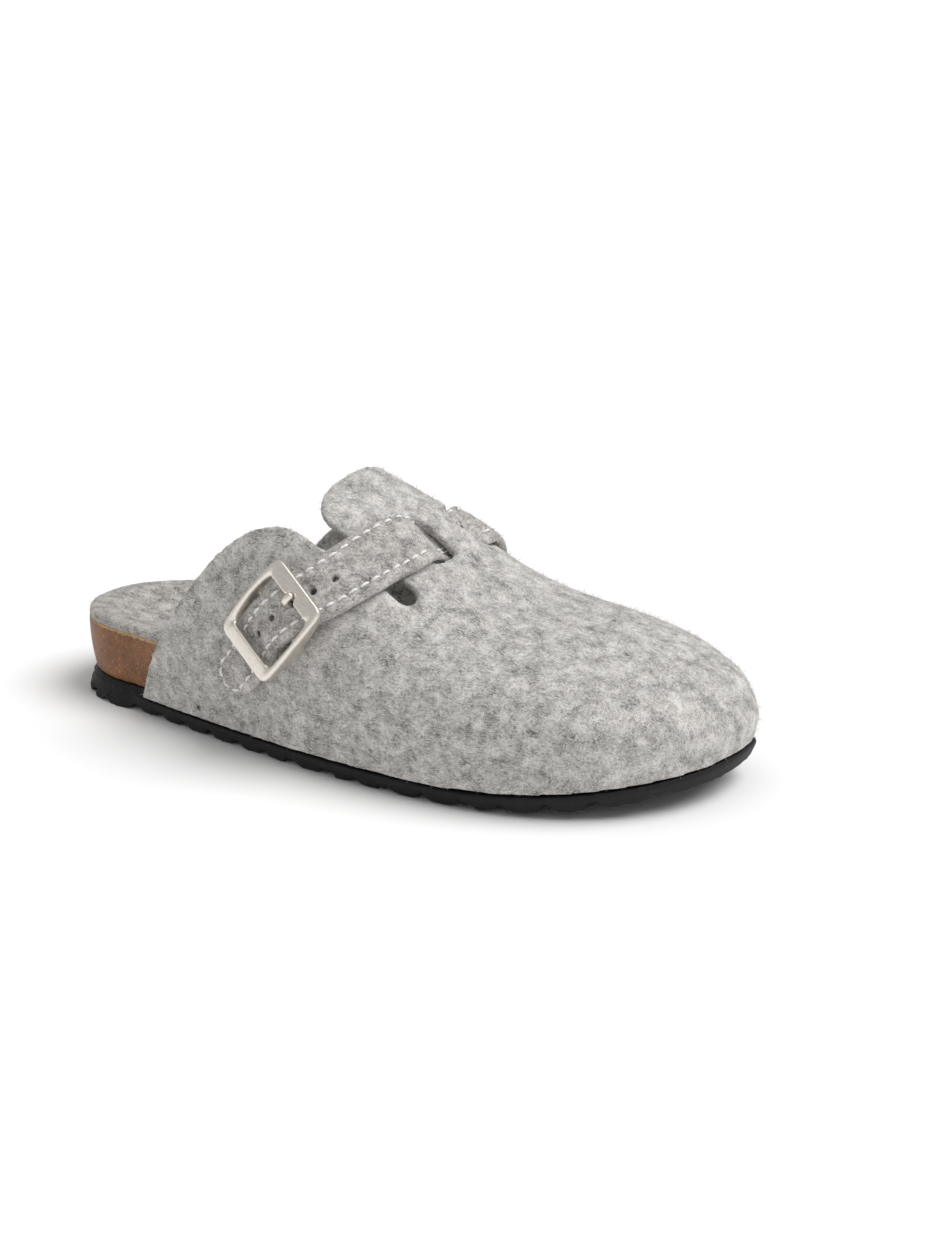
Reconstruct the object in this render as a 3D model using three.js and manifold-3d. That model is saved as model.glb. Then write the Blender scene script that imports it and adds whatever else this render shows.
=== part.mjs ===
// A felt clog slipper for the right foot: a contoured cork footbed on a black foam outsole, lined with felt,
// under a one-piece felt upper. Its instep strap runs through two slots and closes with a square metal buckle.
// Millimetres. +X to the toe, +Y to the inner (big toe) side, +Z up. The origin is on the floor, under the
// middle of the shoe's box.

import * as THREE from "three";
import { mergeVertices } from "three/addons/utils/BufferGeometryUtils.js";
import { TessellateModifier } from "three/addons/modifiers/TessellateModifier.js";
import Module from "manifold-3d";

const wasm = await Module();
wasm.setup();

// Driving sizes of the last. The sole outline is the cork footbed's side where it meets the outsole.
const soleLength = 256.5;
const ballWidth = 98;
const heelWidth = 64;
const instepHeight = 92;
const toeSpring = 8.5;

// Where the widest places of the sole lie, from the heel's rearmost point, and the toe's pole off the middle.
const heelCentre = 35;
const ballCentre = 179;
const toePoleSide = 7;

// Layers. Every pair of pieces that touch in the real shoe lies one gap apart.
const outsoleThickness = 8.5;
const liningThickness = 2.7;
const feltThickness = 3.4;
const strapThickness = 3.2;
const gap = 0.3;

// The cork's rim over the outsole, and the highest part of the inner arch.
const heelSeatHeight = 12;
const heelRimHeight = 20.5;
const archRimHeight = 22;
const forefootHeight = 8;
const forefootRimHeight = 13;

// How far cork and upper stand out over the outsole's top edge, and at which height they are widest.
const sideFlare = 2.2;
const wallHeight = 17;

// How far the upper's lower edge laps over the side of the outsole, and the ledge that it ends above.
const upperLap = 1.6;
const ledgeReach = 3.4;
const footReach = 2.3;
const footRound = 0.9;
const footBulge = 0.26;
const heelReach = 2.6;

// The upper's openings, on the last's unrolled surface: x along the shoe, y over the foot from the ridge line.
const wingFootX = 42.5;
const slitMouthX = 119;
const slitY = { outer: 38.5, inner: 34.5 };
const slitEndX = 155;
const slitWidth = 7.5;
const tongueEndX = 110;
const tongueCornerY = 18;
const tongueRound = 5;
const slotY = 7.5;
const slotWidth = 13;
const slotPlay = 1;
const slotShow = 1.6;

// The strap and where it crosses the ridge line.
const strapWidth = 23;
const strapNeckWidth = 19;
const strapTailWidth = 19.2;
const neckFade = 22;
const tailFade = 28;
const strapCrossingX = 144;
const strapShoulderY = 51.5;
const strapSetback = 13;
const strapTailAngle = 49.5;
const strapTailLength = 58.5;
const sewnEndY = 88;
const strapHoleCount = 5;
const strapHolePitch = 8.1;
const strapHoleRadius = 1.4;
const firstHoleFromTip = 27;
const strapEdgeRound = 0.9;
const strapPlay = 0.6;
const liftAhead = 24;
const liftBehind = 15;

// The buckle.
const buckleFromTip = 34.5;
const buckleInnerWidth = 21.9;
const buckleLength = 34;
const buckleRailWidth = 2.4;
const buckleUpperBarWidth = 6;
const buckleLowerBarWidth = 5.4;
const buckleThickness = 1.8;
const buckleBarTilt = 9;
const railRound = 0.3;
const railArch = 0.7;
const railUnderAxle = 0.4;
const buckleBevel = 0.5;
const buckleCornerRadius = 2.6;
const buckleClearance = 5.2;
const buckleTurn = 6;
const buckleAside = 0.6;
const axleRadius = 0.9;
const prongWidth = 1.8;
const prongThickness = 1;
const prongHole = 2;

// Tread.
const grooveDepth = 2;
const grooveWidth = 3;
const grooveWave = 2.4;
const grooveWaves = 3;

// How far a cutting block stands out on both sides of the felt, and the size of its facets.
const cutterReach = 7;
const cutterFacet = 14;

const TAU = Math.PI * 2;

// A smooth curve through a table's rows: cubic pieces, each tangent taken from the neighbouring rows.
function curveThrough(rows, column) {
  const xs = rows.map((row) => row.at);
  const ys = rows.map((row) => row[column]);
  const last = rows.length - 1;
  const slopes = ys.map((y, i) => {
    const a = Math.max(i - 1, 0);
    const b = Math.min(i + 1, last);
    return (ys[b] - ys[a]) / (xs[b] - xs[a]);
  });
  return (at) => {
    const x = Math.min(Math.max(at, xs[0]), xs[last]);
    let i = 0;
    while (i < last - 1 && x > xs[i + 1]) i += 1;
    const span = xs[i + 1] - xs[i];
    const t = (x - xs[i]) / span;
    const rise = ys[i + 1] - ys[i];
    const lift = t * (1 - t);
    const lean = (slopes[i] * span - rise) * (1 - t) - (slopes[i + 1] * span - rise) * t;
    return ys[i] + rise * t + lift * lean;
  };
}

// The sole's edge between heel and ball. at: share of the way from heel centre to ball centre.
// outer, inner: share of the way from the heel's half width (0) to the ball's (1).
const waistRows = [
  { at: 0, outer: 0, inner: 0 },
  { at: 0.1, outer: 0.16, inner: -0.04 },
  { at: 0.3, outer: 0.46, inner: -0.28 },
  { at: 0.5, outer: 0.72, inner: -0.36 },
  { at: 0.7, outer: 0.91, inner: 0.12 },
  { at: 0.9, outer: 1, inner: 0.85 },
  { at: 1, outer: 1, inner: 1 },
];
const waistOuter = curveThrough(waistRows, "outer");
const waistInner = curveThrough(waistRows, "inner");

// Half widths at the ball, from the line through the heel's middle.
const ballOuterShare = 0.54;
const ballOuter = ballWidth * ballOuterShare;
const ballInner = ballWidth * (1 - ballOuterShare);
const heelHalf = heelWidth / 2;

// Squareness of the round ends: 2 is an ellipse, more is squarer.
const heelSquareness = 2.15;
const toeSquareness = { outer: 2.1, inner: 2.5 };

const toeReach = soleLength - ballCentre;

function edgeAt(x, side) {
  const at = (x - heelCentre) / (ballCentre - heelCentre);
  return side < 0
    ? -(heelHalf + (ballOuter - heelHalf) * waistOuter(at))
    : heelHalf + (ballInner - heelHalf) * waistInner(at);
}

// Distance from a round end's centre to its edge, in the direction of an angle from straight ahead.
function roundEnd(angle, reach, half, squareness) {
  const ahead = Math.abs(Math.cos(angle)) / reach;
  const aside = Math.abs(Math.sin(angle)) / half;
  return (ahead ** squareness + aside ** squareness) ** (-1 / squareness);
}

function toeRadius(angle) {
  return angle < 0
    ? roundEnd(angle, toeReach, ballOuter + toePoleSide, toeSquareness.outer)
    : roundEnd(angle, toeReach, ballInner - toePoleSide, toeSquareness.inner);
}

// The last's sections. at: share of the sole's length. ridge: inside height over the floor, as a share of the
// instep height. aside: the ridge line's place, as a share of the toe pole's. square: fullness of the arch.
// wall: height of the upright part under the arch, as a share of the wall height.
const lastRows = [
  { at: 0, ridge: 1.12, aside: 0.2, square: 1.95, wall: 1 },
  { at: 0.2, ridge: 1.1, aside: 0.3, square: 1.95, wall: 1 },
  { at: 0.32, ridge: 1.03, aside: 0.4, square: 2.1, wall: 1 },
  { at: 0.42, ridge: 0.98, aside: 0.6, square: 2.42, wall: 1 },
  { at: 0.52, ridge: 0.865, aside: 0.8, square: 2.3, wall: 1 },
  { at: 0.62, ridge: 0.67, aside: 0.95, square: 2.22, wall: 1 },
  { at: 0.7, ridge: 0.57, aside: 1, square: 2.35, wall: 0.97 },
  { at: 0.8, ridge: 0.535, aside: 1, square: 2.6, wall: 0.9 },
  { at: 0.9, ridge: 0.505, aside: 1, square: 2.75, wall: 0.78 },
  { at: 1, ridge: 0.39, aside: 1, square: 2.75, wall: 0.6 },
];
const ridgeShare = curveThrough(lastRows, "ridge");
const ridgeAside = curveThrough(lastRows, "aside");
const archSquareness = curveThrough(lastRows, "square");
const wallShare = curveThrough(lastRows, "wall");

// The sole's underside is flat from the heel to the ball and rises under the toes.
const springStart = 0.66;
function springAt(x) {
  const past = Math.max(0, (x / soleLength - springStart) / (1 - springStart));
  return toeSpring * past * past;
}

function soleTopAt(x) {
  return springAt(x) + outsoleThickness;
}

// Outward offset of cork and upper at a height over the sole's top.
function flareAt(height) {
  const t = Math.min(Math.max(height / wallHeight, 0), 1);
  return sideFlare * (1 - (1 - t) ** 2);
}

// One rib of the last, from the ridge (or toe pole) down past the sole's edge, as points with running lengths.
const archSteps = 40;
const wallSteps = 8;
function makeRib(centre, edge) {
  const out = new THREE.Vector2().subVectors(edge, centre);
  const half = out.length();
  out.divideScalar(half);
  const wall = wallShare(edge.x / soleLength) * wallHeight;
  const widest = half + flareAt(wall) + gap;
  const points = [];
  const push = (reach, z) => {
    points.push(new THREE.Vector3(centre.x + out.x * reach, centre.y + out.y * reach, z));
  };
  const square = archSquareness(centre.x / soleLength);
  for (let i = 0; i <= archSteps; i += 1) {
    const angle = (i / archSteps) * (Math.PI / 2);
    const reach = widest * Math.sin(angle) ** (2 / square);
    const x = centre.x + out.x * reach;
    const base = soleTopAt(x) + wall;
    const top = ridgeShare(x / soleLength) * instepHeight;
    push(reach, base + (top - base) * Math.cos(angle) ** (2 / square));
  }
  for (let i = 1; i <= wallSteps; i += 1) {
    const height = wall - (wall + upperLap) * (i / wallSteps);
    const reach = half + gap + flareAt(height);
    push(reach, soleTopAt(centre.x + out.x * reach) + height);
  }
  const lengths = [0];
  for (let i = 1; i < points.length; i += 1) {
    lengths.push(lengths[i - 1] + points[i].distanceTo(points[i - 1]));
  }
  return { points, lengths, length: lengths[lengths.length - 1] };
}

function alongRib(rib, run) {
  const { points, lengths } = rib;
  const last = points.length - 1;
  let i = 0;
  while (i < last - 1 && run > lengths[i + 1]) i += 1;
  const t = (run - lengths[i]) / (lengths[i + 1] - lengths[i]);
  return new THREE.Vector3().lerpVectors(points[i], points[i + 1], t);
}

function crossRib(x, side) {
  const ridge = new THREE.Vector2(x, ridgeAside(x / soleLength) * toePoleSide);
  return makeRib(ridge, new THREE.Vector2(x, edgeAt(x, side)));
}

function toeRib(angle) {
  const pole = new THREE.Vector2(ballCentre, toePoleSide);
  const radius = toeRadius(angle);
  const edge = new THREE.Vector2(pole.x + radius * Math.cos(angle), pole.y + radius * Math.sin(angle));
  return makeRib(pole, edge);
}

// The last, unrolled: x runs along the shoe and y is the distance over the foot from the ridge line. Past the
// ball the distance runs from the toe pole in each direction.
function onLast(x, y) {
  if (x <= ballCentre) return alongRib(crossRib(x, y < 0 ? -1 : 1), Math.abs(y));
  const angle = Math.atan2(y, x - ballCentre);
  return alongRib(toeRib(angle), Math.hypot(x - ballCentre, y));
}

const probe = 0.4;
function lastNormal(x, y) {
  const dx = onLast(x + probe, y).sub(onLast(x - probe, y));
  const dy = onLast(x, y + probe).sub(onLast(x, y - probe));
  return dx.cross(dy).normalize();
}

function offLast(x, y, off) {
  return onLast(x, y).addScaledVector(lastNormal(x, y), off);
}

function smoothStep(from, to, value) {
  return THREE.MathUtils.smoothstep(value, from, to);
}

// A closed mesh with shared vertices and no flat triangles.
function tidyGeometry(geometry) {
  geometry.deleteAttribute("normal");
  geometry.deleteAttribute("uv");
  const merged = mergeVertices(geometry, 1e-3);
  const index = merged.index.array;
  const kept = [];
  for (let i = 0; i < index.length; i += 3) {
    const [a, b, c] = [index[i], index[i + 1], index[i + 2]];
    if (a !== b && b !== c && c !== a) kept.push(a, b, c);
  }
  merged.setIndex(kept);
  return merged;
}

function toSolid(geometry) {
  const closed = tidyGeometry(geometry);
  return new wasm.Manifold(new wasm.Mesh({
    numProp: 3,
    vertProperties: new Float32Array(closed.attributes.position.array),
    triVerts: new Uint32Array(closed.index.array),
  }));
}

function fromSolid(solid) {
  const mesh = solid.getMesh();
  const geometry = new THREE.BufferGeometry();
  geometry.setAttribute("position", new THREE.BufferAttribute(new Float32Array(mesh.vertProperties), 3));
  geometry.setIndex(new THREE.BufferAttribute(new Uint32Array(mesh.triVerts), 1));
  return geometry;
}

// A block that cuts the felt along a shape drawn on the unrolled last.
function makeCutter(shape) {
  const depth = feltThickness + 2 * cutterReach;
  const block = new THREE.ExtrudeGeometry(shape, { depth, bevelEnabled: false });
  const fine = new TessellateModifier(cutterFacet, 12).modify(block);
  const position = fine.attributes.position;
  const flat = new THREE.Vector3();
  for (let i = 0; i < position.count; i += 1) {
    flat.fromBufferAttribute(position, i);
    const laid = offLast(flat.x, flat.y, flat.z - cutterReach);
    position.setXYZ(i, laid.x, laid.y, laid.z);
  }
  return toSolid(fine);
}

// The round of the sole as samples, each with a point of its edge, the spine point behind it and its direction.
// flatAt gives the sample's point of the unrolled last at a share of the way down its rib.
const sideSteps = 18;
const toeSteps = 18;
const heelSteps = 12;
function soleRound() {
  const samples = [];
  const add = (edge, spine, flatAt) => {
    const out = new THREE.Vector2().subVectors(edge, spine).normalize();
    samples.push({ edge, spine, out, flatAt });
  };
  const spineAt = (x) => new THREE.Vector2(x, toePoleSide * ((x - heelCentre) / (ballCentre - heelCentre)));
  const addSide = (x, side) => {
    const length = crossRib(x, side).length;
    const edge = new THREE.Vector2(x, edgeAt(x, side));
    add(edge, spineAt(x), (share) => new THREE.Vector2(x, side * share * length));
  };
  const waistX = (i) => THREE.MathUtils.lerp(heelCentre, ballCentre, i / sideSteps);
  for (let i = 0; i < sideSteps; i += 1) addSide(waistX(i), -1);
  for (let i = 0; i < toeSteps; i += 1) {
    const angle = -Math.PI / 2 + Math.PI * (i / toeSteps);
    const ahead = new THREE.Vector2(Math.cos(angle), Math.sin(angle));
    const pole = spineAt(ballCentre);
    const length = toeRib(angle).length;
    const flatPole = new THREE.Vector2(ballCentre, 0);
    add(
      pole.clone().addScaledVector(ahead, toeRadius(angle)),
      pole,
      (share) => flatPole.clone().addScaledVector(ahead, share * length),
    );
  }
  for (let i = sideSteps; i >= 0; i -= 1) addSide(waistX(i), 1);
  for (let i = 1; i < heelSteps; i += 1) {
    const angle = Math.PI / 2 + Math.PI * (i / heelSteps);
    const radius = roundEnd(angle, heelCentre, heelHalf, heelSquareness);
    const centre = spineAt(heelCentre);
    add(new THREE.Vector2(centre.x + radius * Math.cos(angle), centre.y + radius * Math.sin(angle)), centre);
  }
  return samples;
}
const roundSamples = soleRound();
const coveredSamples = roundSamples.filter((sample) => sample.flatAt);

// A closed solid from rings, listed from the middle of its underside, out, up its side and in over its top.
// place(sample, ring) gives the point of one sample in one ring.
function fromRings(rings, place) {
  const count = roundSamples.length;
  const vertices = [];
  for (const ring of rings) {
    for (const sample of roundSamples) vertices.push(...place(sample, ring).toArray());
  }
  const faces = [];
  for (let r = 0; r < rings.length - 1; r += 1) {
    for (let k = 0; k < count; k += 1) {
      const a = r * count + k;
      const b = r * count + ((k + 1) % count);
      faces.push(a, b, b + count, a, b + count, a + count);
    }
  }
  const geometry = new THREE.BufferGeometry();
  geometry.setAttribute("position", new THREE.Float32BufferAttribute(vertices, 3));
  geometry.setIndex(faces);
  return tidyGeometry(geometry);
}

// A point at a share of the way from spine to edge, or past the edge by a reach in millimetres.
function planPoint(sample, share, reach) {
  const plan = new THREE.Vector2().lerpVectors(sample.spine, sample.edge, share);
  return plan.addScaledVector(sample.out, reach);
}

// Outsole. Ring columns: share and reach in plan, heel: the reach at the bare heel, height over the underside.
const outsoleRings = [
  { share: 0, reach: 0, heel: 0, height: 0 },
  { share: 1, reach: footReach - footRound, heel: heelReach - 2 * footRound, height: 0 },
  { share: 1, reach: footReach, heel: heelReach, height: footBulge * outsoleThickness },
  { share: 1, reach: ledgeReach, heel: heelReach, height: 2 * footBulge * outsoleThickness },
  { share: 1, reach: ledgeReach, heel: heelReach / 2, height: outsoleThickness - upperLap - 3 * gap },
  { share: 1, reach: 0, heel: gap, height: outsoleThickness - upperLap - 2.5 * gap },
  { share: 1, reach: -gap / 2, heel: 0, height: outsoleThickness },
  { share: 0, reach: 0, heel: 0, height: outsoleThickness },
];
const ledgeFade = 4;
function placeOutsole(sample, ring) {
  const covered = smoothStep(wingFootX - ledgeFade - 1, wingFootX - 1, sample.edge.x);
  const reach = THREE.MathUtils.lerp(ring.heel, ring.reach, covered);
  const plan = planPoint(sample, ring.share, reach);
  return new THREE.Vector3(plan.x, plan.y, springAt(plan.x) + ring.height);
}

// One tread groove: a wavy band across the sole, as deep as the groove.
const grooveSteps = 12;
function makeGroove(x, width) {
  const span = ballWidth * 1.3;
  const line = (offset) => {
    const points = [];
    for (let i = 0; i <= grooveSteps; i += 1) {
      const y = span * (i / grooveSteps - 0.5);
      const wave = grooveWave * Math.sin((TAU * grooveWaves * y) / ballWidth);
      points.push(new THREE.Vector2(x + offset + wave, y));
    }
    return points;
  };
  const band = new THREE.Shape([...line(width / 2), ...line(-width / 2).reverse()]);
  const groove = new THREE.ExtrudeGeometry(band, { depth: 2 * grooveDepth, bevelEnabled: false });
  groove.translate(0, 0, springAt(x) - grooveDepth);
  return toSolid(groove);
}

// Grooves along the sole. at: share of the sole's length. width: share of the groove's width.
const grooveRows = [
  { at: 0.045, width: 1 },
  { at: 0.147, width: 0.7 },
  { at: 0.205, width: 1 },
  { at: 0.307, width: 1 },
  { at: 0.36, width: 0.7 },
  { at: 0.446, width: 0.7 },
  { at: 0.52, width: 1 },
  { at: 0.6, width: 0.7 },
  { at: 0.665, width: 1 },
  { at: 0.737, width: 1 },
  { at: 0.84, width: 0.7 },
  { at: 0.9, width: 1 },
  { at: 0.95, width: 0.7 },
];
function makeOutsole() {
  let sole = toSolid(fromRings(outsoleRings, placeOutsole));
  for (const row of grooveRows) {
    sole = sole.subtract(makeGroove(row.at * soleLength, row.width * grooveWidth));
  }
  return fromSolid(sole);
}

// The footbed's top. at: share of the sole's length. seat: height at the spine, from the forefoot's (0) to the
// heel's (1). outer, inner: rim height, from the forefoot's (0) to the heel's or the arch's (1).
const bedRows = [
  { at: 0, seat: 1, outer: 1, inner: 0.62 },
  { at: 0.2, seat: 1, outer: 1, inner: 0.66 },
  { at: 0.35, seat: 0.95, outer: 0.85, inner: 0.9 },
  { at: 0.45, seat: 0.8, outer: 0.6, inner: 1 },
  { at: 0.58, seat: 0.4, outer: 0.25, inner: 0.5 },
  { at: 0.7, seat: 0, outer: 0, inner: 0 },
  { at: 0.85, seat: -0.3, outer: -0.5, inner: -0.5 },
  { at: 1, seat: -0.9, outer: -1.2, inner: -1.1 },
];
const bedSeat = curveThrough(bedRows, "seat");
const bedOuter = curveThrough(bedRows, "outer");
const bedInner = curveThrough(bedRows, "inner");
const bowlStart = 0.3;
const bowlEnd = 0.92;
function bedHeight(sample, plan, share) {
  const at = plan.x / soleLength;
  const seat = THREE.MathUtils.lerp(forefootHeight, heelSeatHeight, bedSeat(at));
  const outer = THREE.MathUtils.lerp(forefootRimHeight, heelRimHeight, bedOuter(at));
  const inner = THREE.MathUtils.lerp(forefootRimHeight, archRimHeight, bedInner(at));
  const inward = THREE.MathUtils.clamp((sample.out.y + 1) / 2, 0, 1);
  const rim = THREE.MathUtils.lerp(outer, inner, smoothStep(0, 1, inward));
  return THREE.MathUtils.lerp(seat, rim, smoothStep(bowlStart, bowlEnd, share));
}

// How far past the sole's edge the last's side stands at a height, following its arch above the upright wall.
function lastReach(sample, height) {
  const wall = wallShare(sample.edge.x / soleLength) * wallHeight;
  if (height <= wall) return flareAt(height);
  const half = sample.edge.distanceTo(sample.spine);
  const top = ridgeShare(sample.edge.x / soleLength) * instepHeight - soleTopAt(sample.edge.x);
  const square = archSquareness(sample.spine.x / soleLength);
  const rise = Math.min((height - wall) / (top - wall), 1);
  return (half + flareAt(wall)) * (1 - rise ** square) ** (1 / square) - half;
}

// Cork and lining share the bowl. over: height over the cork's top. inset: distance inside the last's side.
function placeBed(sample, ring) {
  const flat = planPoint(sample, ring.share, 0);
  const height = ring.over + bedHeight(sample, flat, ring.share);
  const reach = ring.share === 1 ? lastReach(sample, height) - (ring.inset ?? 0) : 0;
  const plan = planPoint(sample, ring.share, reach);
  return new THREE.Vector3(plan.x, plan.y, soleTopAt(flat.x) + height);
}

// The cork's underside and side. up: share of the way from the outsole to the cork's rim.
function placeCork(sample, ring) {
  if (ring.up === undefined) return placeBed(sample, ring);
  const flat = planPoint(sample, ring.share, 0);
  const height = THREE.MathUtils.lerp(gap, bedHeight(sample, flat, ring.share), ring.up);
  const plan = planPoint(sample, ring.share, ring.share === 1 ? lastReach(sample, height) : 0);
  return new THREE.Vector3(plan.x, plan.y, soleTopAt(flat.x) + height);
}

const bowlShares = [0, 0.35, 0.6, 0.78, 0.9, 1];
const corkSideSteps = 4;
function makeFootbed() {
  const rings = [{ share: 0, up: 0 }];
  for (let i = 0; i < corkSideSteps; i += 1) rings.push({ share: 1, up: i / corkSideSteps });
  for (const share of [...bowlShares].reverse()) rings.push({ share, over: 0 });
  return fromRings(rings, placeCork);
}

const liningRound = 1.2;
function makeLining() {
  const top = 1.5 * gap + liningThickness;
  const under = bowlShares.map((share) => ({ share, over: 1.5 * gap, inset: gap / 2 }));
  const over = [...bowlShares].reverse().map((share) => ({ share, over: top }));
  over[0].inset = liningRound;
  return fromRings([...under, { share: 1, over: top - liningRound, inset: gap / 2 }, ...over], placeBed);
}

// The upper's back edge on the unrolled last: wings, slits and tongue.
function ribLength(x, side) {
  return crossRib(x, side).length;
}

// The wing's edge from the slit's mouth to its foot. back: share of the way back. down: share of the way down.
const wingRows = [
  { at: 0, back: 0, down: 0.01 },
  { at: 0.15, back: 0.11, down: -0.015 },
  { at: 0.3, back: 0.25, down: -0.01 },
  { at: 0.42, back: 0.405, down: 0.04 },
  { at: 0.54, back: 0.528, down: 0.16 },
  { at: 0.66, back: 0.65, down: 0.33 },
  { at: 0.78, back: 0.78, down: 0.54 },
  { at: 0.9, back: 0.9, down: 0.75 },
  { at: 1, back: 1, down: 1 },
];
const wingBack = curveThrough(wingRows, "back");
const wingDown = curveThrough(wingRows, "down");
const wingSteps = 18;
const bendSteps = 4;

function slitMiddle(side) {
  return side < 0 ? slitY.outer : slitY.inner;
}

function wingEdge(side) {
  const points = [];
  const top = slitMiddle(side) + slitWidth / 2;
  for (let i = 0; i <= wingSteps; i += 1) {
    const x = THREE.MathUtils.lerp(slitMouthX, wingFootX, wingBack(i / wingSteps));
    const y = THREE.MathUtils.lerp(top, ribLength(x, side), wingDown(i / wingSteps));
    points.push(new THREE.Vector2(x, side * y));
  }
  return points;
}

// From the tongue's middle round its corner and along the slit to its round end, then back to the slit's mouth.
function tongueEdge(side) {
  const points = [];
  const slitTop = slitMiddle(side) - slitWidth / 2;
  const corner = new THREE.CubicBezierCurve(
    new THREE.Vector2(tongueEndX, tongueCornerY),
    new THREE.Vector2(tongueEndX, slitTop - tongueRound),
    new THREE.Vector2(tongueEndX + tongueRound, slitTop),
    new THREE.Vector2(slitMouthX + tongueRound, slitTop),
  );
  points.push(new THREE.Vector2(tongueEndX, tongueCornerY / 2));
  for (const point of corner.getPoints(bendSteps + 2)) points.push(point);
  const endX = slitEndX - slitWidth / 2;
  for (let i = 0; i <= bendSteps * 2; i += 1) {
    const angle = Math.PI * (i / (bendSteps * 2)) - Math.PI / 2;
    const reach = slitWidth / 2;
    const y = slitMiddle(side) + reach * Math.sin(angle);
    points.push(new THREE.Vector2(endX + reach * Math.cos(angle), y));
  }
  return points.map((point) => new THREE.Vector2(point.x, side * point.y));
}

// The strap's middle line on the unrolled last, from the tip on the outer side to the sewn end on the inner side.
// side: share of the shoulder's distance from the ridge. back: share of the setback.
const strapRows = [
  { side: 0, back: 0 },
  { side: 0.31, back: 0.1 },
  { side: 0.74, back: 0.5 },
  { side: 1, back: 1 },
];
const tailAngle = THREE.MathUtils.degToRad(strapTailAngle);
function strapLinePoints() {
  const bend = (sign) => strapRows.map(
    (row) => new THREE.Vector3(strapCrossingX - strapSetback * row.back, sign * strapShoulderY * row.side, 0),
  );
  const shoulder = new THREE.Vector3(strapCrossingX - strapSetback, strapShoulderY, 0);
  const tail = (sign, length) => new THREE.Vector3(
    shoulder.x - length * Math.cos(tailAngle),
    sign * (shoulder.y + length * Math.sin(tailAngle)),
    0,
  );
  const sewnLength = (sewnEndY - strapShoulderY) / Math.sin(tailAngle);
  return [
    tail(-1, strapTailLength),
    tail(-1, strapTailLength / 2),
    ...bend(-1).reverse(),
    ...bend(1).slice(1),
    tail(1, sewnLength / 2),
    tail(1, sewnLength),
  ];
}
const strapLine = new THREE.CatmullRomCurve3(strapLinePoints(), false, "centripetal");
strapLine.arcLengthDivisions = 600;
const strapLength = strapLine.getLength();

// The strap's width as a share of its full width: narrower at the tip and buckle, and at the neck.
function strapShare(run, y) {
  const tail = 1 - smoothStep(buckleFromTip, buckleFromTip + tailFade, run);
  const neck = 1 - smoothStep(slotY, slotY + neckFade, Math.abs(y));
  const tailShare = THREE.MathUtils.lerp(1, strapTailWidth / strapWidth, tail);
  return tailShare * THREE.MathUtils.lerp(1, strapNeckWidth / strapWidth, neck);
}

// How much longer a step across the strap is on the felt than on the unrolled last, along the strap.
const stretchSteps = 24;
function measureStretch() {
  const rows = [];
  for (let i = 0; i <= stretchSteps; i += 1) {
    const at = i / stretchSteps;
    const middle = strapLine.getPointAt(at);
    const ahead = strapLine.getTangentAt(at);
    const side = strapWidth / 4;
    const left = offLast(middle.x - ahead.y * side, middle.y + ahead.x * side, feltThickness);
    const right = offLast(middle.x + ahead.y * side, middle.y - ahead.x * side, feltThickness);
    rows.push({ at, stretch: left.distanceTo(right) / (2 * side) });
  }
  return rows;
}
const strapStretch = curveThrough(measureStretch(), "stretch");

// A point of the strap on the unrolled last. across: distance from its middle line, at the strap's full width.
function strapPoint(run, across) {
  const share = THREE.MathUtils.clamp(run / strapLength, 0, 1);
  const middle = strapLine.getPointAt(share);
  const ahead = strapLine.getTangentAt(share);
  middle.addScaledVector(ahead, run - share * strapLength);
  const reach = (across * strapShare(run, middle.y)) / strapStretch(share);
  return new THREE.Vector2(middle.x - ahead.y * reach, middle.y + ahead.x * reach);
}

// How far the strap's underside lies off the last: under the upper between the slots, on it outside them, and
// lifted over the buckle's axle.
const strapOutside = feltThickness + strapPlay;
const strapInside = -(strapThickness + 2 * strapPlay);
const axleHeight = feltThickness + gap + axleRadius;
const strapLift = axleHeight + axleRadius + gap + prongThickness + gap - strapOutside;
function strapOffset(run, y) {
  const climb = slotWidth - slotShow - 4 * strapPlay;
  const out = THREE.MathUtils.clamp((Math.abs(y) - slotY - slotShow) / climb, 0, 1);
  const past = run - buckleFromTip;
  const bump = past > 0 ? 1 - smoothStep(1, liftAhead, past) : 1 - smoothStep(1, liftBehind, -past);
  return THREE.MathUtils.lerp(strapInside, strapOutside, out) + strapLift * bump;
}

function layStrap(run, across, depth) {
  const flat = strapPoint(run, across);
  return offLast(flat.x, flat.y, strapOffset(run, flat.y) + depth);
}

// The strap's section: a flat strip with rounded edges, across and deep.
function stripSection(width, thickness, round) {
  const half = width / 2;
  return new THREE.Shape([
    new THREE.Vector2(-half, round),
    new THREE.Vector2(-half + round, 0),
    new THREE.Vector2(-half / 2, 0),
    new THREE.Vector2(0, 0),
    new THREE.Vector2(half / 2, 0),
    new THREE.Vector2(half - round, 0),
    new THREE.Vector2(half, round),
    new THREE.Vector2(half, thickness - round),
    new THREE.Vector2(half - round, thickness),
    new THREE.Vector2(half / 2, thickness),
    new THREE.Vector2(0, thickness),
    new THREE.Vector2(-half / 2, thickness),
    new THREE.Vector2(-half + round, thickness),
    new THREE.Vector2(-half, thickness - round),
  ]);
}

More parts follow.
